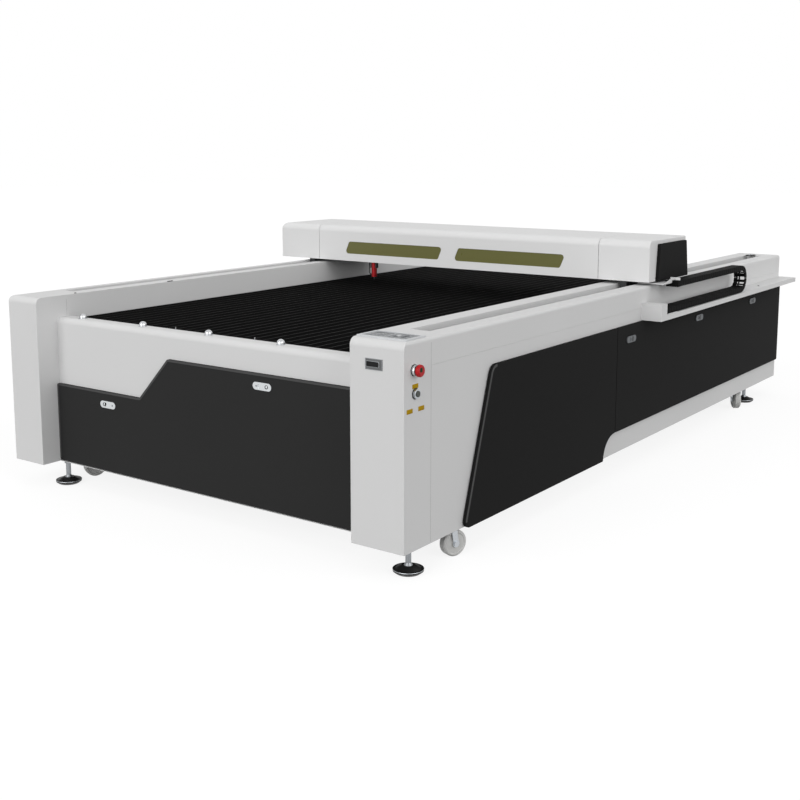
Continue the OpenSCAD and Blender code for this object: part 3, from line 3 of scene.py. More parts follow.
import bpy
import numpy as np
from mathutils import Euler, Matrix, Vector


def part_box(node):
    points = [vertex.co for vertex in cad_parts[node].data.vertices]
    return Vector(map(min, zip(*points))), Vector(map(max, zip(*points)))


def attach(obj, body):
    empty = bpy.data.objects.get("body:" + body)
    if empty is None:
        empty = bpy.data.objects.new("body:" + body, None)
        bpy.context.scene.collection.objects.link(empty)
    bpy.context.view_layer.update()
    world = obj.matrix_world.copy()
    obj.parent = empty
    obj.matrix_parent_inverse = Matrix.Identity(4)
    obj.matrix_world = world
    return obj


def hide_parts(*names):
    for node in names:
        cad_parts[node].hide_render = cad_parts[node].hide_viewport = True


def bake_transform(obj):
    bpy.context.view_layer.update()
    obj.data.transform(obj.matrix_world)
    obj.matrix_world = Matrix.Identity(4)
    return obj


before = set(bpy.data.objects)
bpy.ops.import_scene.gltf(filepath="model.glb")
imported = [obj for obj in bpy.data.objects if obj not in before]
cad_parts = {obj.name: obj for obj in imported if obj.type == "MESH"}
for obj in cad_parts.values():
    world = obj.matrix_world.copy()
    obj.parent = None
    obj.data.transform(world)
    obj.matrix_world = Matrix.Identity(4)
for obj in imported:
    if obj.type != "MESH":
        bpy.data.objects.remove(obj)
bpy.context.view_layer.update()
scene = bpy.context.scene
scene.view_settings.view_transform = "Standard"


# ---- Camera ----
# Three-quarter view from the right front corner, a little above the bed, with a lens of 52 mm.
# It looks down by 8.6 degrees, and a small shift puts the machine in the middle of the frame.

eye = bpy.data.cameras.new("camera")
eye.lens = 51.92
eye.sensor_width = 36
eye.shift_y = -0.1
eye.clip_end = 60
camera = bpy.data.objects.new("camera", eye)
camera.location = (3.0714, -4.7163, 1.3928)
camera.rotation_euler = Euler(np.radians([90 - 8.566, 0, 35.809]))
scene.collection.objects.link(camera)
scene.camera = camera


# ---- Room: pale floor, even white surroundings and two broad soft lamps ----
# The surroundings light every face evenly. One lamp lifts the front and the tops, and a weaker
# one the faces that look right, so that each fold in sheet metal of one grey can be told apart.


def linear(code):
    """Linear RGBA of an sRGB hex code: ((c + 0.055) / 1.055) ** 2.4, or c / 12.92 when dark."""
    c = np.array([int(code[i : i + 2], 16) for i in (1, 3, 5)]) / 255
    c = np.where(c > 0.04045, ((c + 0.055) / 1.055) ** 2.4, c / 12.92)
    return (*c.tolist(), 1.0)


def add(tree, kind, links=None, **settings):
    """Adds a node; settings are its properties, and links maps input names to values or sockets."""
    node = tree.nodes.new("ShaderNode" + kind)
    for key, value in settings.items():
        setattr(node, key, value)
    for name, value in (links or {}).items():
        if isinstance(value, bpy.types.NodeSocket):
            tree.links.new(value, node.inputs[name])
        else:
            node.inputs[name].default_value = value
    return node


def seen_directly(tree):
    """Socket that is 1 for rays which end in the camera, in a mirror or behind glass."""
    path = add(tree, "LightPath").outputs
    seen = path["Is Camera Ray"]
    for ray in ("Is Glossy Ray", "Is Transmission Ray"):
        seen = add(tree, "Math", {0: seen, 1: path[ray]}, operation="MAXIMUM").outputs[0]
    return seen


def soft_lamp(name, energy, towards):
    """A sun 50 degrees across, which softens every shadow; towards points from the object to it."""
    sun = bpy.data.lights.new(name, "SUN")
    sun.energy = energy
    sun.angle = np.radians(50)
    lamp = bpy.data.objects.new(name, sun)
    lamp.rotation_euler = Vector(towards).to_track_quat("Z", "Y").to_euler()
    scene.collection.objects.link(lamp)


world = bpy.data.worlds.new("surroundings")
world.use_nodes = True
scene.world = world
sky = world.node_tree
sky.nodes.clear()
strength = add(sky, "Mix", {0: seen_directly(sky), 2: 0.6, 3: 1.0}, data_type="FLOAT")
background = add(sky, "Background", {"Color": (1, 1, 1, 1), "Strength": strength.outputs[0]})
add(sky, "OutputWorld", {"Surface": background.outputs[0]})
soft_lamp("front_lamp", 1.8, (-0.05, -0.94, 0.31))
soft_lamp("side_lamp", 1.08, (0.92, -0.1, 0.36))

half_floor = 30
signs = ((-1, -1), (1, -1), (1, 1), (-1, 1))
floor_corners = [(x * half_floor, y * half_floor, 0) for x, y in signs]
floor_mesh = bpy.data.meshes.new("floor")
floor_mesh.from_pydata(floor_corners, [], [(0, 1, 2, 3)])
floor = bpy.data.objects.new("floor", floor_mesh)
scene.collection.objects.link(floor)
floor_paint = bpy.data.materials.new("pale_floor")
floor_paint.use_nodes = True
tree = floor_paint.node_tree
tree.nodes.clear()
matt = add(tree, "BsdfDiffuse", {"Color": linear("#767676")})
lift = add(tree, "Math", {0: seen_directly(tree), 1: 0.86}, operation="MULTIPLY")
glow = add(tree, "Emission", {"Strength": lift.outputs[0]})
both = add(tree, "AddShader", {0: matt.outputs[0], 1: glow.outputs[0]})
add(tree, "OutputMaterial", {"Surface": both.outputs[0]})
floor_mesh.materials.append(floor_paint)


# ---- Body: columns, apron, rail boxes, side sheets, rear panel and chain tray ----
# Folded steel sheet in a light grey polyester powder coat. Powder melts into a fine orange
# peel about 2 mm across, so highlights break up softly; the peel is drawn at 4 mm.


def finish(
    name,
    colour,
    roughness,
    metallic=0.0,
    grain_mm=3.0,
    bump=0.05,
    vary=0.03,
    stretch=(1, 1, 1),
    **sockets,
):
    """A finish. Its colour drifts by slow noise (0.3 m clouds) between 1 - vary and 1 + vary times
    the hex code. Noise of the given grain in mm, stretched along an axis for brushed metal, gives
    the bump and moves the roughness by 0.05. Sockets set the shader's inputs of the same names."""
    material = bpy.data.materials.new(name)
    material.use_nodes = True
    tree = material.node_tree
    shader = tree.nodes["Principled BSDF"]
    shader.inputs["Metallic"].default_value = metallic
    for key, value in sockets.items():
        shader.inputs[key.replace("_", " ")].default_value = value
    place = add(tree, "TexCoord").outputs["Object"]
    clouds = add(tree, "TexNoise", {"Vector": place, "Scale": 3.0, "Detail": 3.0})
    base = np.array(linear(colour))[:3]
    dark, light = base * (1 - vary), np.minimum(base * (1 + vary), 1)
    tints = {0: clouds.outputs["Fac"], 6: (*dark, 1), 7: (*light, 1)}
    tone = add(tree, "Mix", tints, data_type="RGBA")
    tree.links.new(tone.outputs[2], shader.inputs["Base Color"])
    along = add(tree, "Mapping", {"Vector": place, "Scale": stretch})
    fine = {"Vector": along.outputs[0], "Scale": 1000 / grain_mm, "Detail": 2.0}
    grain = add(tree, "TexNoise", fine).outputs["Fac"]
    relief = add(tree, "Bump", {"Height": grain, "Strength": bump, "Distance": grain_mm / 1000})
    tree.links.new(relief.outputs[0], shader.inputs["Normal"])
    rough = {"Value": grain, "To Min": roughness - 0.05, "To Max": roughness + 0.05}
    tree.links.new(add(tree, "MapRange", rough).outputs[0], shader.inputs["Roughness"])
    return material


def dress(material, *names):
    """Gives CAD nodes a finish through their own material slots."""
    for name in names:
        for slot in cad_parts[name].material_slots:
            slot.material = material


grey_coat = finish("light_grey_powder_coat", "#cfcfcf", 0.5, grain_mm=4, vary=0.02)
dress(grey_coat, "columns", "front_apron", "rail_boxes", "side_sheets", "rear_panel", "chain_tray")


# ---- Screws of the rear panel ----
# Zinc-plated M6 screws with 10 mm button heads hold the panel: five up each side and six along
# its lower edge.


def skin(name, grid, material, body, closed=False):
    """Piece over a grid of points (ring, step, xyz). Quads join each point to the next on its ring
    and to the same two on the next ring; a ring closes on itself. The last ring joins the first
    when closed, and both get an end face otherwise. Faces turn round where the volume that they
    enclose comes out negative. A piece with no body is left unattached."""
    rings, steps = grid.shape[:2]
    index = np.arange(rings * steps).reshape(rings, steps)
    near, far = (index, np.roll(index, -1, 0)) if closed else (index[:-1], index[1:])
    quads = np.stack([near, np.roll(near, -1, 1), np.roll(far, -1, 1), far], -1).reshape(-1, 4)
    points = grid.reshape(-1, 3)
    a, b, c, d = np.moveaxis((points - points.mean(0))[quads], 1, 0)
    volume = (a * np.cross(b, c) + a * np.cross(c, d)).sum()
    faces = quads.tolist() + ([] if closed else [index[0][::-1].tolist(), index[-1].tolist()])
    mesh = bpy.data.meshes.new(name)
    mesh.from_pydata(points.tolist(), [], [face[::-1] for face in faces] if volume < 0 else faces)
    mesh.shade_smooth()
    mesh.set_sharp_from_angle(angle=np.radians(40))
    mesh.materials.append(material)
    piece = bpy.data.objects.new(name, mesh)
    scene.collection.objects.link(piece)
    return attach(piece, body) if body else piece


def turned(profile, centre, axis, steps=32):
    """Grid of a profile turned about an axis (0, 1 or 2 for X, Y or Z): a point is the centre, plus
    the profile's height along the axis, plus its radius times cosine and sine on the other two."""
    radius, height = np.array(profile, float).T
    angle = np.arange(steps) * 2 * np.pi / steps
    grid = np.zeros((len(radius), steps, 3))
    grid[..., axis] = height[:, None]
    grid[..., (axis + 1) % 3] = radius[:, None] * np.cos(angle)
    grid[..., (axis + 2) % 3] = radius[:, None] * np.sin(angle)
    return grid + np.array(centre)


def millimetres(*values):
    """Millimetres in metres, as an array."""
    return np.array(values, float) / 1000


zinc = finish("bright_zinc_plate", "#b9bdc1", 0.28, metallic=1.0, grain_mm=2, bump=0.03)
button_head = millimetres(
    [5, -0.3], [5, 0.7], [4.2, 1.9], [2.8, 2.7], [1.6, 2.9], [1.5, 1.4], [0.1, 1.3]
)
back_low, back_high = map(np.array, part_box("rear_panel"))
collar_length = 0.06
rear_face = back_high[1] - collar_length
screw_columns = (back_low[0] + 0.035, back_high[0] - 0.035)
screw_heights = back_low[2] + millimetres(43, 203, 363, 523, 653)
spots = [(x, rear_face, z) for x in screw_columns for z in screw_heights]
lower_row = back_low[0] + np.linspace(0.2355, 1.7655, 6)
spots += [(x, rear_face, back_low[2] + 0.018) for x in lower_row]
for number, spot in enumerate(spots):
    skin(f"rear_screw_{number}", turned(button_head, spot, 1), zinc, "base")


# ---- Front door, rear side door, side panels and the gantry's end cover ----
# Shallow folded pans of 2 mm sheet in a near-black powder coat with a fine sand texture of
# about 1 mm grains, drawn at 3 mm, which keeps reflections dull. The front door stays bare.
# The side door, both side panels and the end cover get a darker copy of the same coat, which is
# painted shade for side faces that get less light than the front.

black_coat = finish(
    "black_sand_powder_coat", "#272727", 0.7, grain_mm=3, bump=0.12, Specular_IOR_Level=0.1
)
dress(black_coat, "front_door")
# Darker copy of the black coat: painted shade on the side door, side panels and end cover.
shaded_black_coat = finish(
    "black_powder_coat_painted_shade", "#1b1b1b", 0.75, grain_mm=3, bump=0.12, Specular_IOR_Level=0.06
)
dress(shaded_black_coat, "side_door", "side_panel_right", "side_panel_left", "end_cover")


# ---- Hems of the front door and the right side panel ----
# The door's upper edge and the panel's slanted front edge are hemmed. The flattened hem stands
# half a millimetre proud and catches more light, so it gets the same coat in a lighter grey, a
# painted highlight along the edge.


def hem(name, node, material, axis, side, width, body, rising=False):
    """Strip along the upper outline of a pan's outermost face. The outline's points are those that
    no point before them tops, up to the first of the highest for a rising hem. The strip's inner
    edge is the outline moved by the width along its normal: a direction (u, z) gives (z, -u)."""
    corners = np.array([corner.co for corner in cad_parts[node].data.vertices])
    face = (corners[:, axis] * side).max() * side
    flat = corners[np.abs(corners[:, axis] - face) < 1e-4][:, [1 - axis, 2]]
    flat = np.unique(np.round(flat, 4), axis=0)
    edge = flat[flat[:, 1] >= np.maximum.accumulate(flat[:, 1]) - 1e-4]
    edge = edge[: edge[:, 1].argmax() + 1] if rising else edge
    way = np.gradient(edge, axis=0)
    way /= np.linalg.norm(way, axis=1)[:, None]
    inner = edge + width * np.stack([way[:, 1], -way[:, 0]], -1)
    grid = np.zeros((len(edge), 4, 3))
    grid[..., axis] = face + side * millimetres(-0.2, 0.5, 0.5, -0.2)
    grid[..., [1 - axis, 2]] = np.stack([edge, edge, inner, inner], 1)
    return skin(name, grid, material, body)


# Lighter copy of the black coat: painted highlight on the hems.
hem_highlight_coat = finish(
    "black_coat_painted_highlight", "#454545", 0.6, grain_mm=3, bump=0.1, Specular_IOR_Level=0.15
)
hem("front_door_hem_highlight", "front_door", hem_highlight_coat, 1, -1, 0.008, "front_door")
hem("side_panel_hem_highlight", "side_panel_right", hem_highlight_coat, 0, 1, 0.010, "base", rising=True)


# ---- Under-frame: square tubes, bed supports and caster plates ----
# Welded 60 mm steel tube in a dark grey primer that dries slightly uneven, with the steel
# supports and the caster plates in the same primer.

primer = finish(
    "dark_grey_primer", "#3d4043", 0.6, grain_mm=6, bump=0.08, vary=0.06, Specular_IOR_Level=0.3
)
dress(primer, "frame_lengthwise", "frame_cross_tubes", "bed_supports", "caster_plates")


# ---- Bed blades and dust tray ----
# The blades are black anodised strips, drawn lengthwise, so their grain runs along X. The
# dust tray below them is galvanised sheet with spangles about 12 mm across.

black_anodised = finish(
    "black_anodised_aluminium",
    "#080808",
    0.65,
    grain_mm=3,
    bump=0.1,
    vary=0.15,
    stretch=(0.02, 1, 1),
    Specular_IOR_Level=0.12,
)
dress(black_anodised, "bed_blades")
galvanised = finish(
    "galvanised_sheet", "#5d5f60", 0.45, metallic=0.8, grain_mm=12, bump=0.03, vary=0.12
)
dress(galvanised, "dust_tray")


# ---- Linear guides, belts and drive ----
# Ground rails with a lengthwise grind, turned steel pulleys and shaft, saddles and head plate
# cast and blackened, and toothed rubber belts.

ground_steel = finish(
    "ground_steel", "#b8bcc0", 0.25, metallic=1.0, grain_mm=1, bump=0.03, stretch=(1, 0.03, 1)
)
dress(ground_steel, "y_guides")
ground_beam_rail = finish(
    "ground_beam_rail", "#b8bcc0", 0.25, metallic=1.0, grain_mm=1, stretch=(0.03, 1, 1)
)
dress(ground_beam_rail, "x_rail")
machined = finish(
    "machined_steel", "#9ea2a6", 0.32, metallic=1.0, grain_mm=1.5, bump=0.03, vary=0.04
)
dress(machined, "drive_shaft", "idler_pulleys", "x_drive_pulley", "x_idler_pulley")
dress(machined, "button_collars")
dark_cast = finish("black_oxide_casting", "#2c2d2e", 0.5, metallic=0.4, grain_mm=2, bump=0.05)
dress(dark_cast, "saddles", "head_plate")
belt_rubber = finish("toothed_belt_rubber", "#1b1b1b", 0.7, grain_mm=2, bump=0.15, vary=0.1)
dress(belt_rubber, "y_belts", "x_belt")


# ---- Stop plate at the rear end of the right slot ----
# Moulded plate in matt black plastic, 62 x 36 mm and 5 mm high. Two zinc-plated screws hold it
# on the rail box's top.


def rounded(width, height, radius, corner=6):
    """Outline (u, v) of a rounded rectangle about the origin: at each corner, the corner's centre
    plus the radius times the cosine and sine of an angle that sweeps a quarter turn."""
    quarter = np.arange(4)[:, None] * np.pi / 2
    angle = quarter + np.linspace(0, np.pi / 2, corner)
    u = np.sign(np.cos(quarter + np.pi / 4)) * (width / 2 - radius) + radius * np.cos(angle)
    v = np.sign(np.sin(quarter + np.pi / 4)) * (height / 2 - radius) + radius * np.sin(angle)
    return np.stack([u.ravel(), v.ravel()], -1)


def pad(width, height, radius, levels, centre, axis):
    """Grid of a rounded pad. A level (inset, rise) is the rounded rectangle taken in by the inset,
    at the centre plus the rise along the axis; width and height run along the next two axes."""
    rings = []
    for inset, rise in levels:
        flat = rounded(width - 2 * inset, height - 2 * inset, max(radius - inset, 0.0002))
        ring = np.full((len(flat), 3), float(rise))
        ring[:, [(axis + 1) % 3, (axis + 2) % 3]] = flat
        rings.append(ring)
    return np.array(rings) + np.array(centre)


black_plastic = finish(
    "black_moulded_plastic", "#161616", 0.45, grain_mm=1, bump=0.04, Specular_IOR_Level=0.3
)
rail_high = np.array(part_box("rail_boxes")[1])
stop_plate_at = rail_high - (0.1215, 0.125, 0)
plate_levels = millimetres([0, -0.2], [0, 4.2], [0.8, 5])
plate = pad(0.036, 0.062, 0.004, plate_levels, stop_plate_at, 2)
skin("slot_stop_plate", plate, black_plastic, "base")
for number, shift in enumerate((-0.021, 0.021)):
    screw = turned(button_head, stop_plate_at + (0, shift, 0.005), 2)
    skin(f"slot_stop_screw_{number}", screw, zinc, "base")


# ---- Clip and small screws on the left rail box and the chain tray ----
# A black nylon cable clip 30 x 8 mm on the left rail box's inner edge, with a blackened screw
# ahead of it, and another in the chain tray behind the chain.

inner_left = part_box("front_door")[0][0] - 0.002
column_back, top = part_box("columns")[1][1], rail_high[2]
clip_at = (inner_left - 0.007, column_back + 0.582, top)
clip = pad(0.008, 0.030, 0.002, millimetres([0, -0.2], [0, 2.4], [0.7, 3]), clip_at, 2)
skin("rail_clip", clip, black_plastic, "base")
tray_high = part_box("chain_tray")[1]
lower_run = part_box("chain_lower")[0]
rail_spot = (inner_left - 0.010, column_back + 0.055, top)
tray_spot = (tray_high[0] - 0.033, tray_high[1] - 0.521, lower_run[2] - 0.002)
for number, spot in enumerate([rail_spot, tray_spot]):
    screw = turned(button_head, spot, 2)
    skin(f"black_screw_{number}", screw, black_plastic, "base")


# ---- Sealed joints between the columns and the sheets behind them ----
# Bead of grey sealant 1 mm wide and 0.2 mm proud, run down each joint. It ends 17 mm below the
# top, and on the left it starts just above the apron.

sealant = finish("grey_sealant", "#8e8e8e", 0.6, grain_mm=2, bump=0.05)
joint_levels = millimetres([0, -0.2], [0.1, 0.2])
column_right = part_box("columns")[1][0]
for name, x, drop in (("right", column_right, 0.685), ("left", inner_left, 0.085)):
    high, low = top - 0.017, top - drop
    joint_at = (x, column_back, (low + high) / 2)
    strip = pad(0.001, high - low, 0.0003, joint_levels, joint_at, 0)
    skin(f"sealed_joint_{name}", strip, sealant, "base")


# ---- Electrics boxes, gantry fittings, apron fittings and nozzle ----
# The boxes and the fittings on the beam have a smooth grey enamel. The ball units and pins on
# the apron's ledge and the nozzle are turned and polished steel.

box_paint = finish("grey_box_enamel", "#9a9c9e", 0.45, grain_mm=3, bump=0.05, vary=0.04)
dress(box_paint, "electrics", "gantry_fittings")
polished = finish("polished_steel", "#c4c6c8", 0.2, metallic=1.0, grain_mm=2, bump=0.01)
dress(polished, "apron_fittings", "nozzle")


# ---- Feet and casters ----
# Moulded rubber pads on zinc-plated stems, each pad with a bright steel rim let in at half its
# height, and turned nylon wheels in zinc-plated forks.

pad_rubber = finish("moulded_rubber", "#161616", 0.42, grain_mm=2, bump=0.08, vary=0.1)
dress(pad_rubber, "foot_pads")
dull_zinc = finish(
    "dull_zinc_plate", "#8e9194", 0.36, metallic=1.0, grain_mm=2, bump=0.04, vary=0.06
)
dress(dull_zinc, "foot_stems")
dress(zinc, "fork_front_right", "fork_front_left", "fork_rear_right", "fork_rear_left")
nylon = finish("turned_nylon", "#c0c0be", 0.45, grain_mm=1.5, bump=0.05, vary=0.05)
dress(nylon, "wheel_front_right", "wheel_front_left", "wheel_rear_right", "wheel_rear_left")

pads = np.array([corner.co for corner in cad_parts["foot_pads"].data.vertices])
foot_rim = millimetres([51.0, 15.2], [52.6, 15.2], [52.9, 14.5], [52.6, 13.8], [51.0, 13.8])
quarters = [(True, True), (False, True), (True, False), (False, False)]
for number, (right, front) in enumerate(quarters):
    corner = pads[((pads[:, 0] > 0) == right) & ((pads[:, 1] < 0) == front)]
    x, y, _ = (corner.min(0) + corner.max(0)) / 2
    rim = turned(foot_rim, (x, y, 0), 2, steps=64)
    skin(f"foot_rim_{number}", rim, zinc, "base", closed=True)


# ---- Catch on the right column ----
# Die-cast plate in dull grey, with a brighter raised edge and a bead round its recess, and a
# darker lever that swings in the recess.

lock_cast = finish(
    "grey_die_casting", "#5c5d5e", 0.5, metallic=0.3, grain_mm=1.5, bump=0.05, vary=0.05
)
dress(lock_cast, "latch_plate")
lever_cast = finish(
    "dark_die_casting", "#161617", 0.5, grain_mm=1.5, bump=0.05, Specular_IOR_Level=0.15
)
dress(lever_cast, "latch_lever")
plate_low, plate_high = map(np.array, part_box("latch_plate"))
plate_length, _, plate_width = plate_high - plate_low
plate_face = (plate_low + plate_high) / 2
plate_face[1] = plate_low[1] + 0.001
edge_loop = millimetres([-0.3, 1], [-0.3, -0.3], [0, -0.6], [1.4, -0.6], [1.8, 0.2])
rim = pad(plate_width, plate_length, 0.0004, edge_loop, plate_face, 1)
skin("catch_plate_edge", rim, dull_zinc, "base", closed=True)
lever_low, lever_high = map(np.array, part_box("latch_lever"))
lever_face = np.array([(lever_low[0] + lever_high[0]) / 2, *plate_face[1:]])
recess_length, recess_width = lever_high[0] - lever_low[0] + 0.006, 0.0195
recess_loop = millimetres(
    [-0.4, 0.2], [-0.4, -0.5], [0, -0.8], [0.9, -0.8], [1.2, -0.4], [1.2, 0.2]
)
rim = pad(recess_width, recess_length, 0.004, recess_loop, lever_face, 1)
skin("catch_recess_bead", rim, dull_zinc, "base", closed=True)


# ---- Door latches ----
# Satin chrome pills on the front door, each with a key ring and a small screw, and darker zinc
# pills on the rear side door, each with a slot across it. Each slot is a raised black mark,
# painted shade where the slot's recess would be.

chrome = finish("satin_chrome", "#cfd2d4", 0.22, metallic=1.0, grain_mm=1, bump=0.02)
dress(chrome, "front_latches")
grey_zinc = finish("die_cast_zinc", "#5c5f62", 0.5, metallic=0.4, grain_mm=1, bump=0.03)
dress(grey_zinc, "side_latches")
half_length, half_width = 0.044, 0.014
key_ring = millimetres([7.0, 0.3], [7.0, -0.9], [6.5, -1.3], [5.2, -1.3], [4.8, -0.8], [4.8, 0.3])
key_plug = millimetres([4.8, 0.3], [4.8, -0.4], [4.4, -0.7], [2.0, -0.7], [1.8, -0.2], [0.1, -0.2])
small_head = millimetres(
    [3.4, 0.3], [3.4, -0.6], [2.9, -1.3], [1.6, -1.5], [1.5, -0.7], [0.1, -0.7]
)
front_low, front_high = map(np.array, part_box("front_latches"))
low_pill = front_low + (half_length, 0, half_width)
high_pill = np.array([front_high[0] - half_length, front_low[1], front_high[2] - half_width])
for name, pill, side in (("low", low_pill, -1), ("high", high_pill, 1)):
    ring = turned(key_ring, pill + (side * 0.021, 0, 0), 1)
    plug = turned(key_plug, pill + (side * 0.021, 0, 0), 1)
    screw = turned(small_head, pill - (side * 0.027, 0, 0), 1)
    skin(f"{name}_latch_ring", ring, black_plastic, "front_door", closed=True)
    skin(f"{name}_latch_plug", plug, chrome, "front_door")
    skin(f"{name}_latch_screw", screw, dull_zinc, "front_door")

side_low, side_high = map(np.array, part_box("side_latches"))
# Raised black mark across each side latch: painted shade standing in for the slot.
slot_shade_levels = millimetres([0, -0.3], [0, 0.5], [0.5, 0.9])
side_pills = (side_low[1] + half_length, side_low[1] + 0.807, side_high[1] - half_length)
for number, y in enumerate(side_pills):
    slot_shade_at = (side_high[0], y + 0.012, (side_low[2] + side_high[2]) / 2)
    mark = pad(0.010, 0.020, 0.003, slot_shade_levels, slot_shade_at, 0)
    skin(f"side_latch_slot_shade_{number}", mark, black_plastic, "side_door")


# ---- Stop button ----
# Red mushroom head of glossy plastic, pressed to stop. A chrome ring and a black gasket hold it
# to the column, and a blank green rounded mark lies on its face.

stop_plastic = finish(
    "red_button_plastic",
    "#a80d15",
    0.38,
    grain_mm=1,
    bump=0.02,
    vary=0.05,
    Specular_IOR_Level=0.25,
)
dress(stop_plastic, "stop_head")
green_print = finish(
    "dark_green_print", "#12341f", 0.6, grain_mm=1, bump=0.02, Specular_IOR_Level=0.1
)
gasket_rubber = finish("gasket_rubber", "#121212", 0.6, grain_mm=1, bump=0.05, vary=0.08)
column_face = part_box("columns")[1][0]
stop_low, stop_high = map(np.array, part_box("stop_head"))
stop_axis = np.array([column_face, *((stop_low + stop_high) / 2)[1:]])
gasket_loop = millimetres([15.2, 0.1], [15.2, 2.6], [18.4, 2.6], [19.0, 1.8], [19.0, 0.1])
gasket = turned(gasket_loop, stop_axis, 0, 48)
skin("stop_gasket", gasket, gasket_rubber, "base", closed=True)
bezel_loop = millimetres(
    [15.2, 2.5], [15.2, 10.6], [15.8, 11.4], [16.8, 11.4], [17.4, 10.4], [17.6, 2.5]
)
bezel = turned(bezel_loop, stop_axis, 0, 48)
skin("stop_bezel", bezel, chrome, "base", closed=True)
mark_levels = millimetres([0, -0.5], [0, 0.25], [0.3, 0.4])
mark_at = (stop_high[0], stop_axis[1] - 0.004, stop_axis[2] + 0.004)
mark = pad(0.013, 0.014, 0.003, mark_levels, mark_at, 0)
skin("stop_mark", mark, green_print, "stop_head")


# ---- Start button ----
# Flat cap of grey-green moulded plastic in a zinc-plated ring, which is clamped to the column
# over a black gasket.

start_plastic = finish(
    "grey_green_button_plastic", "#3f433e", 0.35, grain_mm=1, bump=0.02, Specular_IOR_Level=0.3
)
dress(start_plastic, "start_button")
start_low, start_high = map(np.array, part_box("start_button"))
start_axis = np.array([column_face, *((start_low + start_high) / 2)[1:]])
gasket_loop = millimetres([15.8, 0.1], [15.8, 1.8], [17.6, 1.8], [18.3, 1.2], [18.3, 0.1])
gasket = turned(gasket_loop, start_axis, 0, 48)
skin("start_gasket", gasket, gasket_rubber, "base", closed=True)
ring_loop = millimetres(
    [10.6, 9.6], [10.6, 10.6], [14.8, 10.6], [15.9, 9.4], [15.9, 1.0], [15.4, 1.0], [15.4, 9.6]
)
ring = turned(ring_loop, start_axis, 0, 48)
skin("start_ring", ring, zinc, "base", closed=True)


# ---- Blank plates on the right column ----
# Three rounded plates of yellow printed sheet, 33 x 15 mm and 0.6 mm thick, with nothing on
# them: one between the buttons and two side by side below.

yellow_print = finish(
    "yellow_printed_sheet",
    "#a68408",
    0.6,
    grain_mm=1,
    bump=0.02,
    vary=0.04,
    Specular_IOR_Level=0.1,
)
blank_levels = millimetres([0, -0.2], [0, 0.45], [0.2, 0.6])
from_stop_button = [(0.007, -0.053), (-0.024, -0.130), (0.040, -0.130)]
for number, (y, z) in enumerate(from_stop_button):
    plate = pad(0.033, 0.015, 0.0015, blank_levels, stop_axis + (0, y, z), 0)
    skin(f"blank_plate_{number}", plate, yellow_print, "base")


# ---- Keypad on the right column's top ----
# Grey moulded housing with a lighter rim, a dark display behind a clear window, and crowned
# rubber keys in five columns of four, with four more below the display.

keypad_plastic = finish("grey_panel_plastic", "#9c9ea0", 0.5, grain_mm=1, bump=0.04, vary=0.04)
dress(keypad_plastic, "control_panel")
rim_plastic = finish("light_rim_plastic", "#c4c6c8", 0.45, grain_mm=1, bump=0.03, vary=0.03)
key_rubber = finish("grey_key_rubber", "#8a8c8e", 0.6, grain_mm=1, bump=0.05, vary=0.04)
dark_rubber = finish("dark_key_rubber", "#55585b", 0.6, grain_mm=1, bump=0.05, vary=0.04)
pale_rubber = finish("pale_key_rubber", "#c9cbcc", 0.6, grain_mm=1, bump=0.05, vary=0.04)
display = finish("dark_display", "#3b4146", 0.15, grain_mm=8, bump=0.01, vary=0.1)
pad_low, pad_high = map(np.array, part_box("control_panel"))
pad_size = (pad_high - pad_low)[:2]
pad_centre = np.array([*((pad_low + pad_high) / 2)[:2], pad_high[2]])
rim_loop = millimetres([-0.3, -4.9], [-0.3, 0], [0.1, 0.4], [10.2, 0.4], [10.8, 0], [10.8, -1.6])
rim = pad(*pad_size, 0.0005, rim_loop, pad_centre, 2)
skin("keypad_rim", rim, rim_plastic, "base", closed=True)
pane_levels = millimetres([0, -2.6], [0, -1.6], [0.4, -1.3])
pane_at = (pad_low[0] + 0.054, pad_low[1] + 0.069, pad_high[2])
window = pad(0.067, 0.045, 0.002, pane_levels, pane_at, 2)
skin("keypad_display", window, display, "base")

# A key is its centre from the housing's left front corner, and its width.
key_levels = millimetres([0, -2.4], [0, -0.4], [0.5, 0.1], [1.6, 0.35])
keys = [(0.1045 + 0.016 * i, 0.0255 + 0.021 * j, 0.0116) for i in range(5) for j in range(4)]
keys += [(0.028 + 0.017 * i, 0.0285, 0.0126) for i in range(4)]
other_rubber = {5: dark_rubber, 6: pale_rubber, 13: dark_rubber, 14: dark_rubber}
for number, (x, y, width) in enumerate(keys):
    key_at = (pad_low[0] + x, pad_low[1] + y, pad_high[2])
    key = pad(width, 0.0176, 0.002, key_levels, key_at, 2)
    rubber = other_rubber.get(number, key_rubber)
    skin(f"key_{number}", key, rubber, "base")


# ---- Gantry: beam, cover, window panes and chain bracket ----
# Folded cover in the light grey coat over an anodised beam that is brushed along its length,
# with olive acrylic panes behind the cover's windows.

cover_coat = finish("light_grey_cover_coat", "#d3d3d3", 0.48, grain_mm=4, bump=0.05, vary=0.02)
dress(cover_coat, "cover_middle", "cover_ends", "chain_bracket")
beam_aluminium = finish(
    "anodised_aluminium",
    "#b4b8bc",
    0.35,
    metallic=1.0,
    grain_mm=1.5,
    bump=0.03,
    stretch=(0.03, 1, 1),
)
dress(beam_aluminium, "gantry_beam")
pane = finish(
    "olive_acrylic", "#605f33", 0.3, grain_mm=30, bump=0.01, vary=0.04, Specular_IOR_Level=0.3
)
dress(pane, "window_panes")


# ---- Laser tube and cutting head ----
# Tube of clear glass, a red anodised focusing tube that is brushed along its length, and a
# moulded rubber air hose.

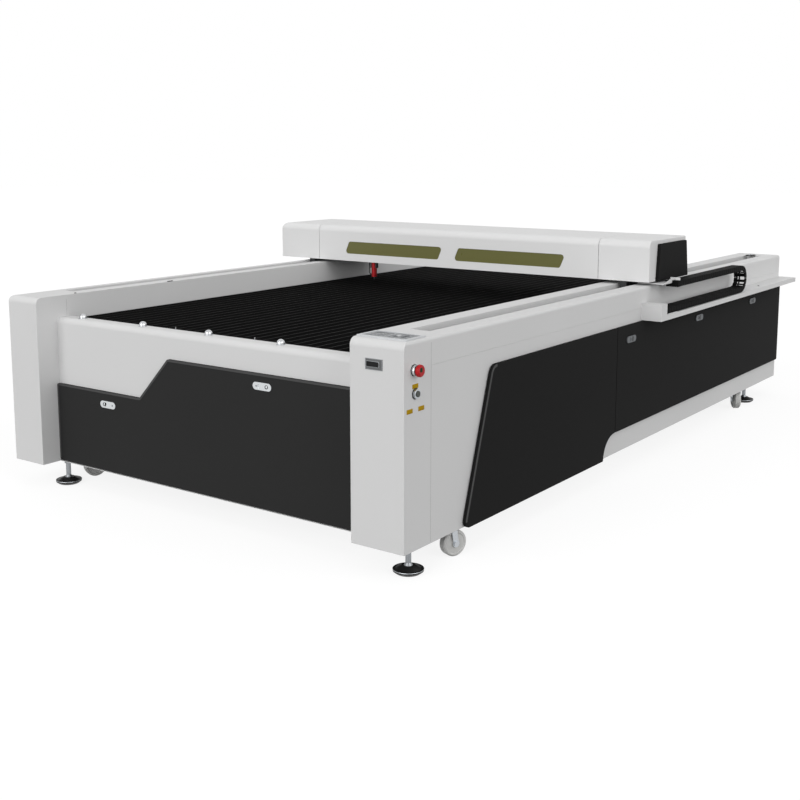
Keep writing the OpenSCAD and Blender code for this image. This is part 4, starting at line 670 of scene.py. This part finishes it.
glass = finish(
    "clear_tube_glass", "#d8e6ea", 0.05, grain_mm=20, bump=0.005, Transmission_Weight=0.9, IOR=1.47
)
dress(glass, "laser_tube")
red_anodised = finish(
    "red_anodised_aluminium",
    "#a31b20",
    0.3,
    metallic=0.6,
    grain_mm=1,
    bump=0.03,
    stretch=(1, 1, 0.05),
)
dress(red_anodised, "focus_tube")
hose_rubber = finish("black_air_hose", "#161616", 0.5, grain_mm=1, bump=0.04, vary=0.05)
dress(hose_rubber, "air_pipe")


# ---- Cable chain ----
# Glass-filled black nylon. The straight runs are grooved link by link, in parts of a few links
# each. The half turn is open links: two side plates with an inner and an outer crossbar each,
# over two cables.

chain_nylon = finish(
    "black_chain_nylon",
    "#0d0d0d",
    0.7,
    grain_mm=1.5,
    bump=0.05,
    vary=0.08,
    Specular_IOR_Level=0.05,
)
cable_pvc = finish(
    "black_cable_sheath", "#101010", 0.5, grain_mm=1, bump=0.03, Specular_IOR_Level=0.2
)
turn_low, turn_high = map(np.array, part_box("chain_bend"))
turn_axis = np.array([turn_low[0], turn_low[1], (turn_low[2] + turn_high[2]) / 2])
chain_width = turn_high[0] - turn_low[0]
bend_inner, bend_outer, bend_links = 0.0405, 0.0652, 6
half_angle = np.pi / 2 / bend_links


def link_part(name, number, radii, tangent, across, corner=0.0006):
    """One part of a link: a rounded rectangle between two radii, whose width grows with the radius,
    drawn across the chain and turned by the link's angle. Angle 0 is straight down, and a quarter
    turn is to the rear."""
    middle, depth = sum(radii) / 2, radii[1] - radii[0]
    flat = rounded(depth, tangent, corner)
    radial = middle + flat[:, 0]
    along = flat[:, 1] * (radial / middle)
    angle = (2 * number + 1) * half_angle
    grid = np.zeros((2, len(flat), 3))
    grid[..., 0] = np.array(across)[:, None]
    grid[..., 1] = radial * np.sin(angle) + along * np.cos(angle)
    grid[..., 2] = -radial * np.cos(angle) + along * np.sin(angle)
    grid += turn_axis
    return skin(f"chain_{name}_{number}", grid, chain_nylon, "chain_bend")


plate_gap, side_thick, bar_thick, bar_set_in = 0.0016, 0.004, 0.0035, 0.001
plate_radii = (bend_inner, bend_outer)
plate_tangent = (bend_inner + bend_outer) * np.tan(half_angle) - plate_gap
outer_radii = (bend_outer - bar_set_in - bar_thick, bend_outer - bar_set_in)
inner_radii = (bend_inner + bar_set_in, bend_inner + bar_set_in + bar_thick)
left_side, right_side = (0, side_thick), (chain_width - side_thick, chain_width)
between_sides = (0.0035, chain_width - 0.0035)
for number in range(bend_links):
    side = link_part("side_a", number, plate_radii, plate_tangent, left_side, 0.005)
    link_part("side_b", number, plate_radii, plate_tangent, right_side, 0.005)
    link_part("outer_bar", number, outer_radii, 0.012, between_sides)
    link_part("inner_bar", number, inner_radii, 0.008, between_sides)
    if number == 0:
        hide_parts("chain_bend")


def straight_run(node, links, parts):
    """Replaces a straight run by parts of a few links each. A part is a rounded bar grooved link by
    link, left without a body, with its transform baked into its mesh."""
    low, high = map(np.array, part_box(node))
    middle, size = (low + high) / 2, high - low
    pitch = size[1] / links
    count = links // parts
    for part in range(parts):
        front = low[1] + part * count * pitch
        steps = np.array([0.0004, 0.0014, pitch - 0.0014, pitch - 0.0004])
        rise = (front + pitch * np.arange(count)[:, None] + steps).ravel()
        levels = np.stack([np.tile([0.002, 0, 0, 0.002], count), rise], -1)
        grid = pad(size[2], size[0], 0.003, levels, (middle[0], 0, middle[2]), 1)
        piece = skin(f"{node}_part_{part}", grid, chain_nylon, None)
        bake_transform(piece)
        if part == 0:
            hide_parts(node)


straight_run("chain_lower", 33, 11)
straight_run("chain_upper", 28, 7)
end_low, end_high = map(np.array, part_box("chain_upper"))
end_size = (end_high - end_low)[[2, 0]] + 0.0006
end_at = np.array([(end_low[0] + end_high[0]) / 2, end_low[1], (end_low[2] + end_high[2]) / 2])
end_levels = millimetres([0.2, -31], [0, -30.5], [0, -1])
end_link = pad(*end_size, 0.001, end_levels, end_at, 1)
skin("chain_end_link", end_link, chain_nylon, "gantry")

# A cable is a circle of 4 mm radius carried round the half turn at 53.5 mm from its axis.
sweep = np.linspace(0, np.pi, 25)[:, None]
around = np.arange(16) * 2 * np.pi / 16
for number, offset in enumerate((0.012, 0.024)):
    radial = 0.0535 + 0.004 * np.cos(around)
    grid = np.zeros((len(sweep), len(around), 3))
    grid[..., 0] = offset + 0.004 * np.sin(around)
    grid[..., 1] = radial * np.sin(sweep)
    grid[..., 2] = -radial * np.cos(sweep)
    skin(f"chain_cable_{number}", grid + turn_axis, cable_pvc, "chain_bend")
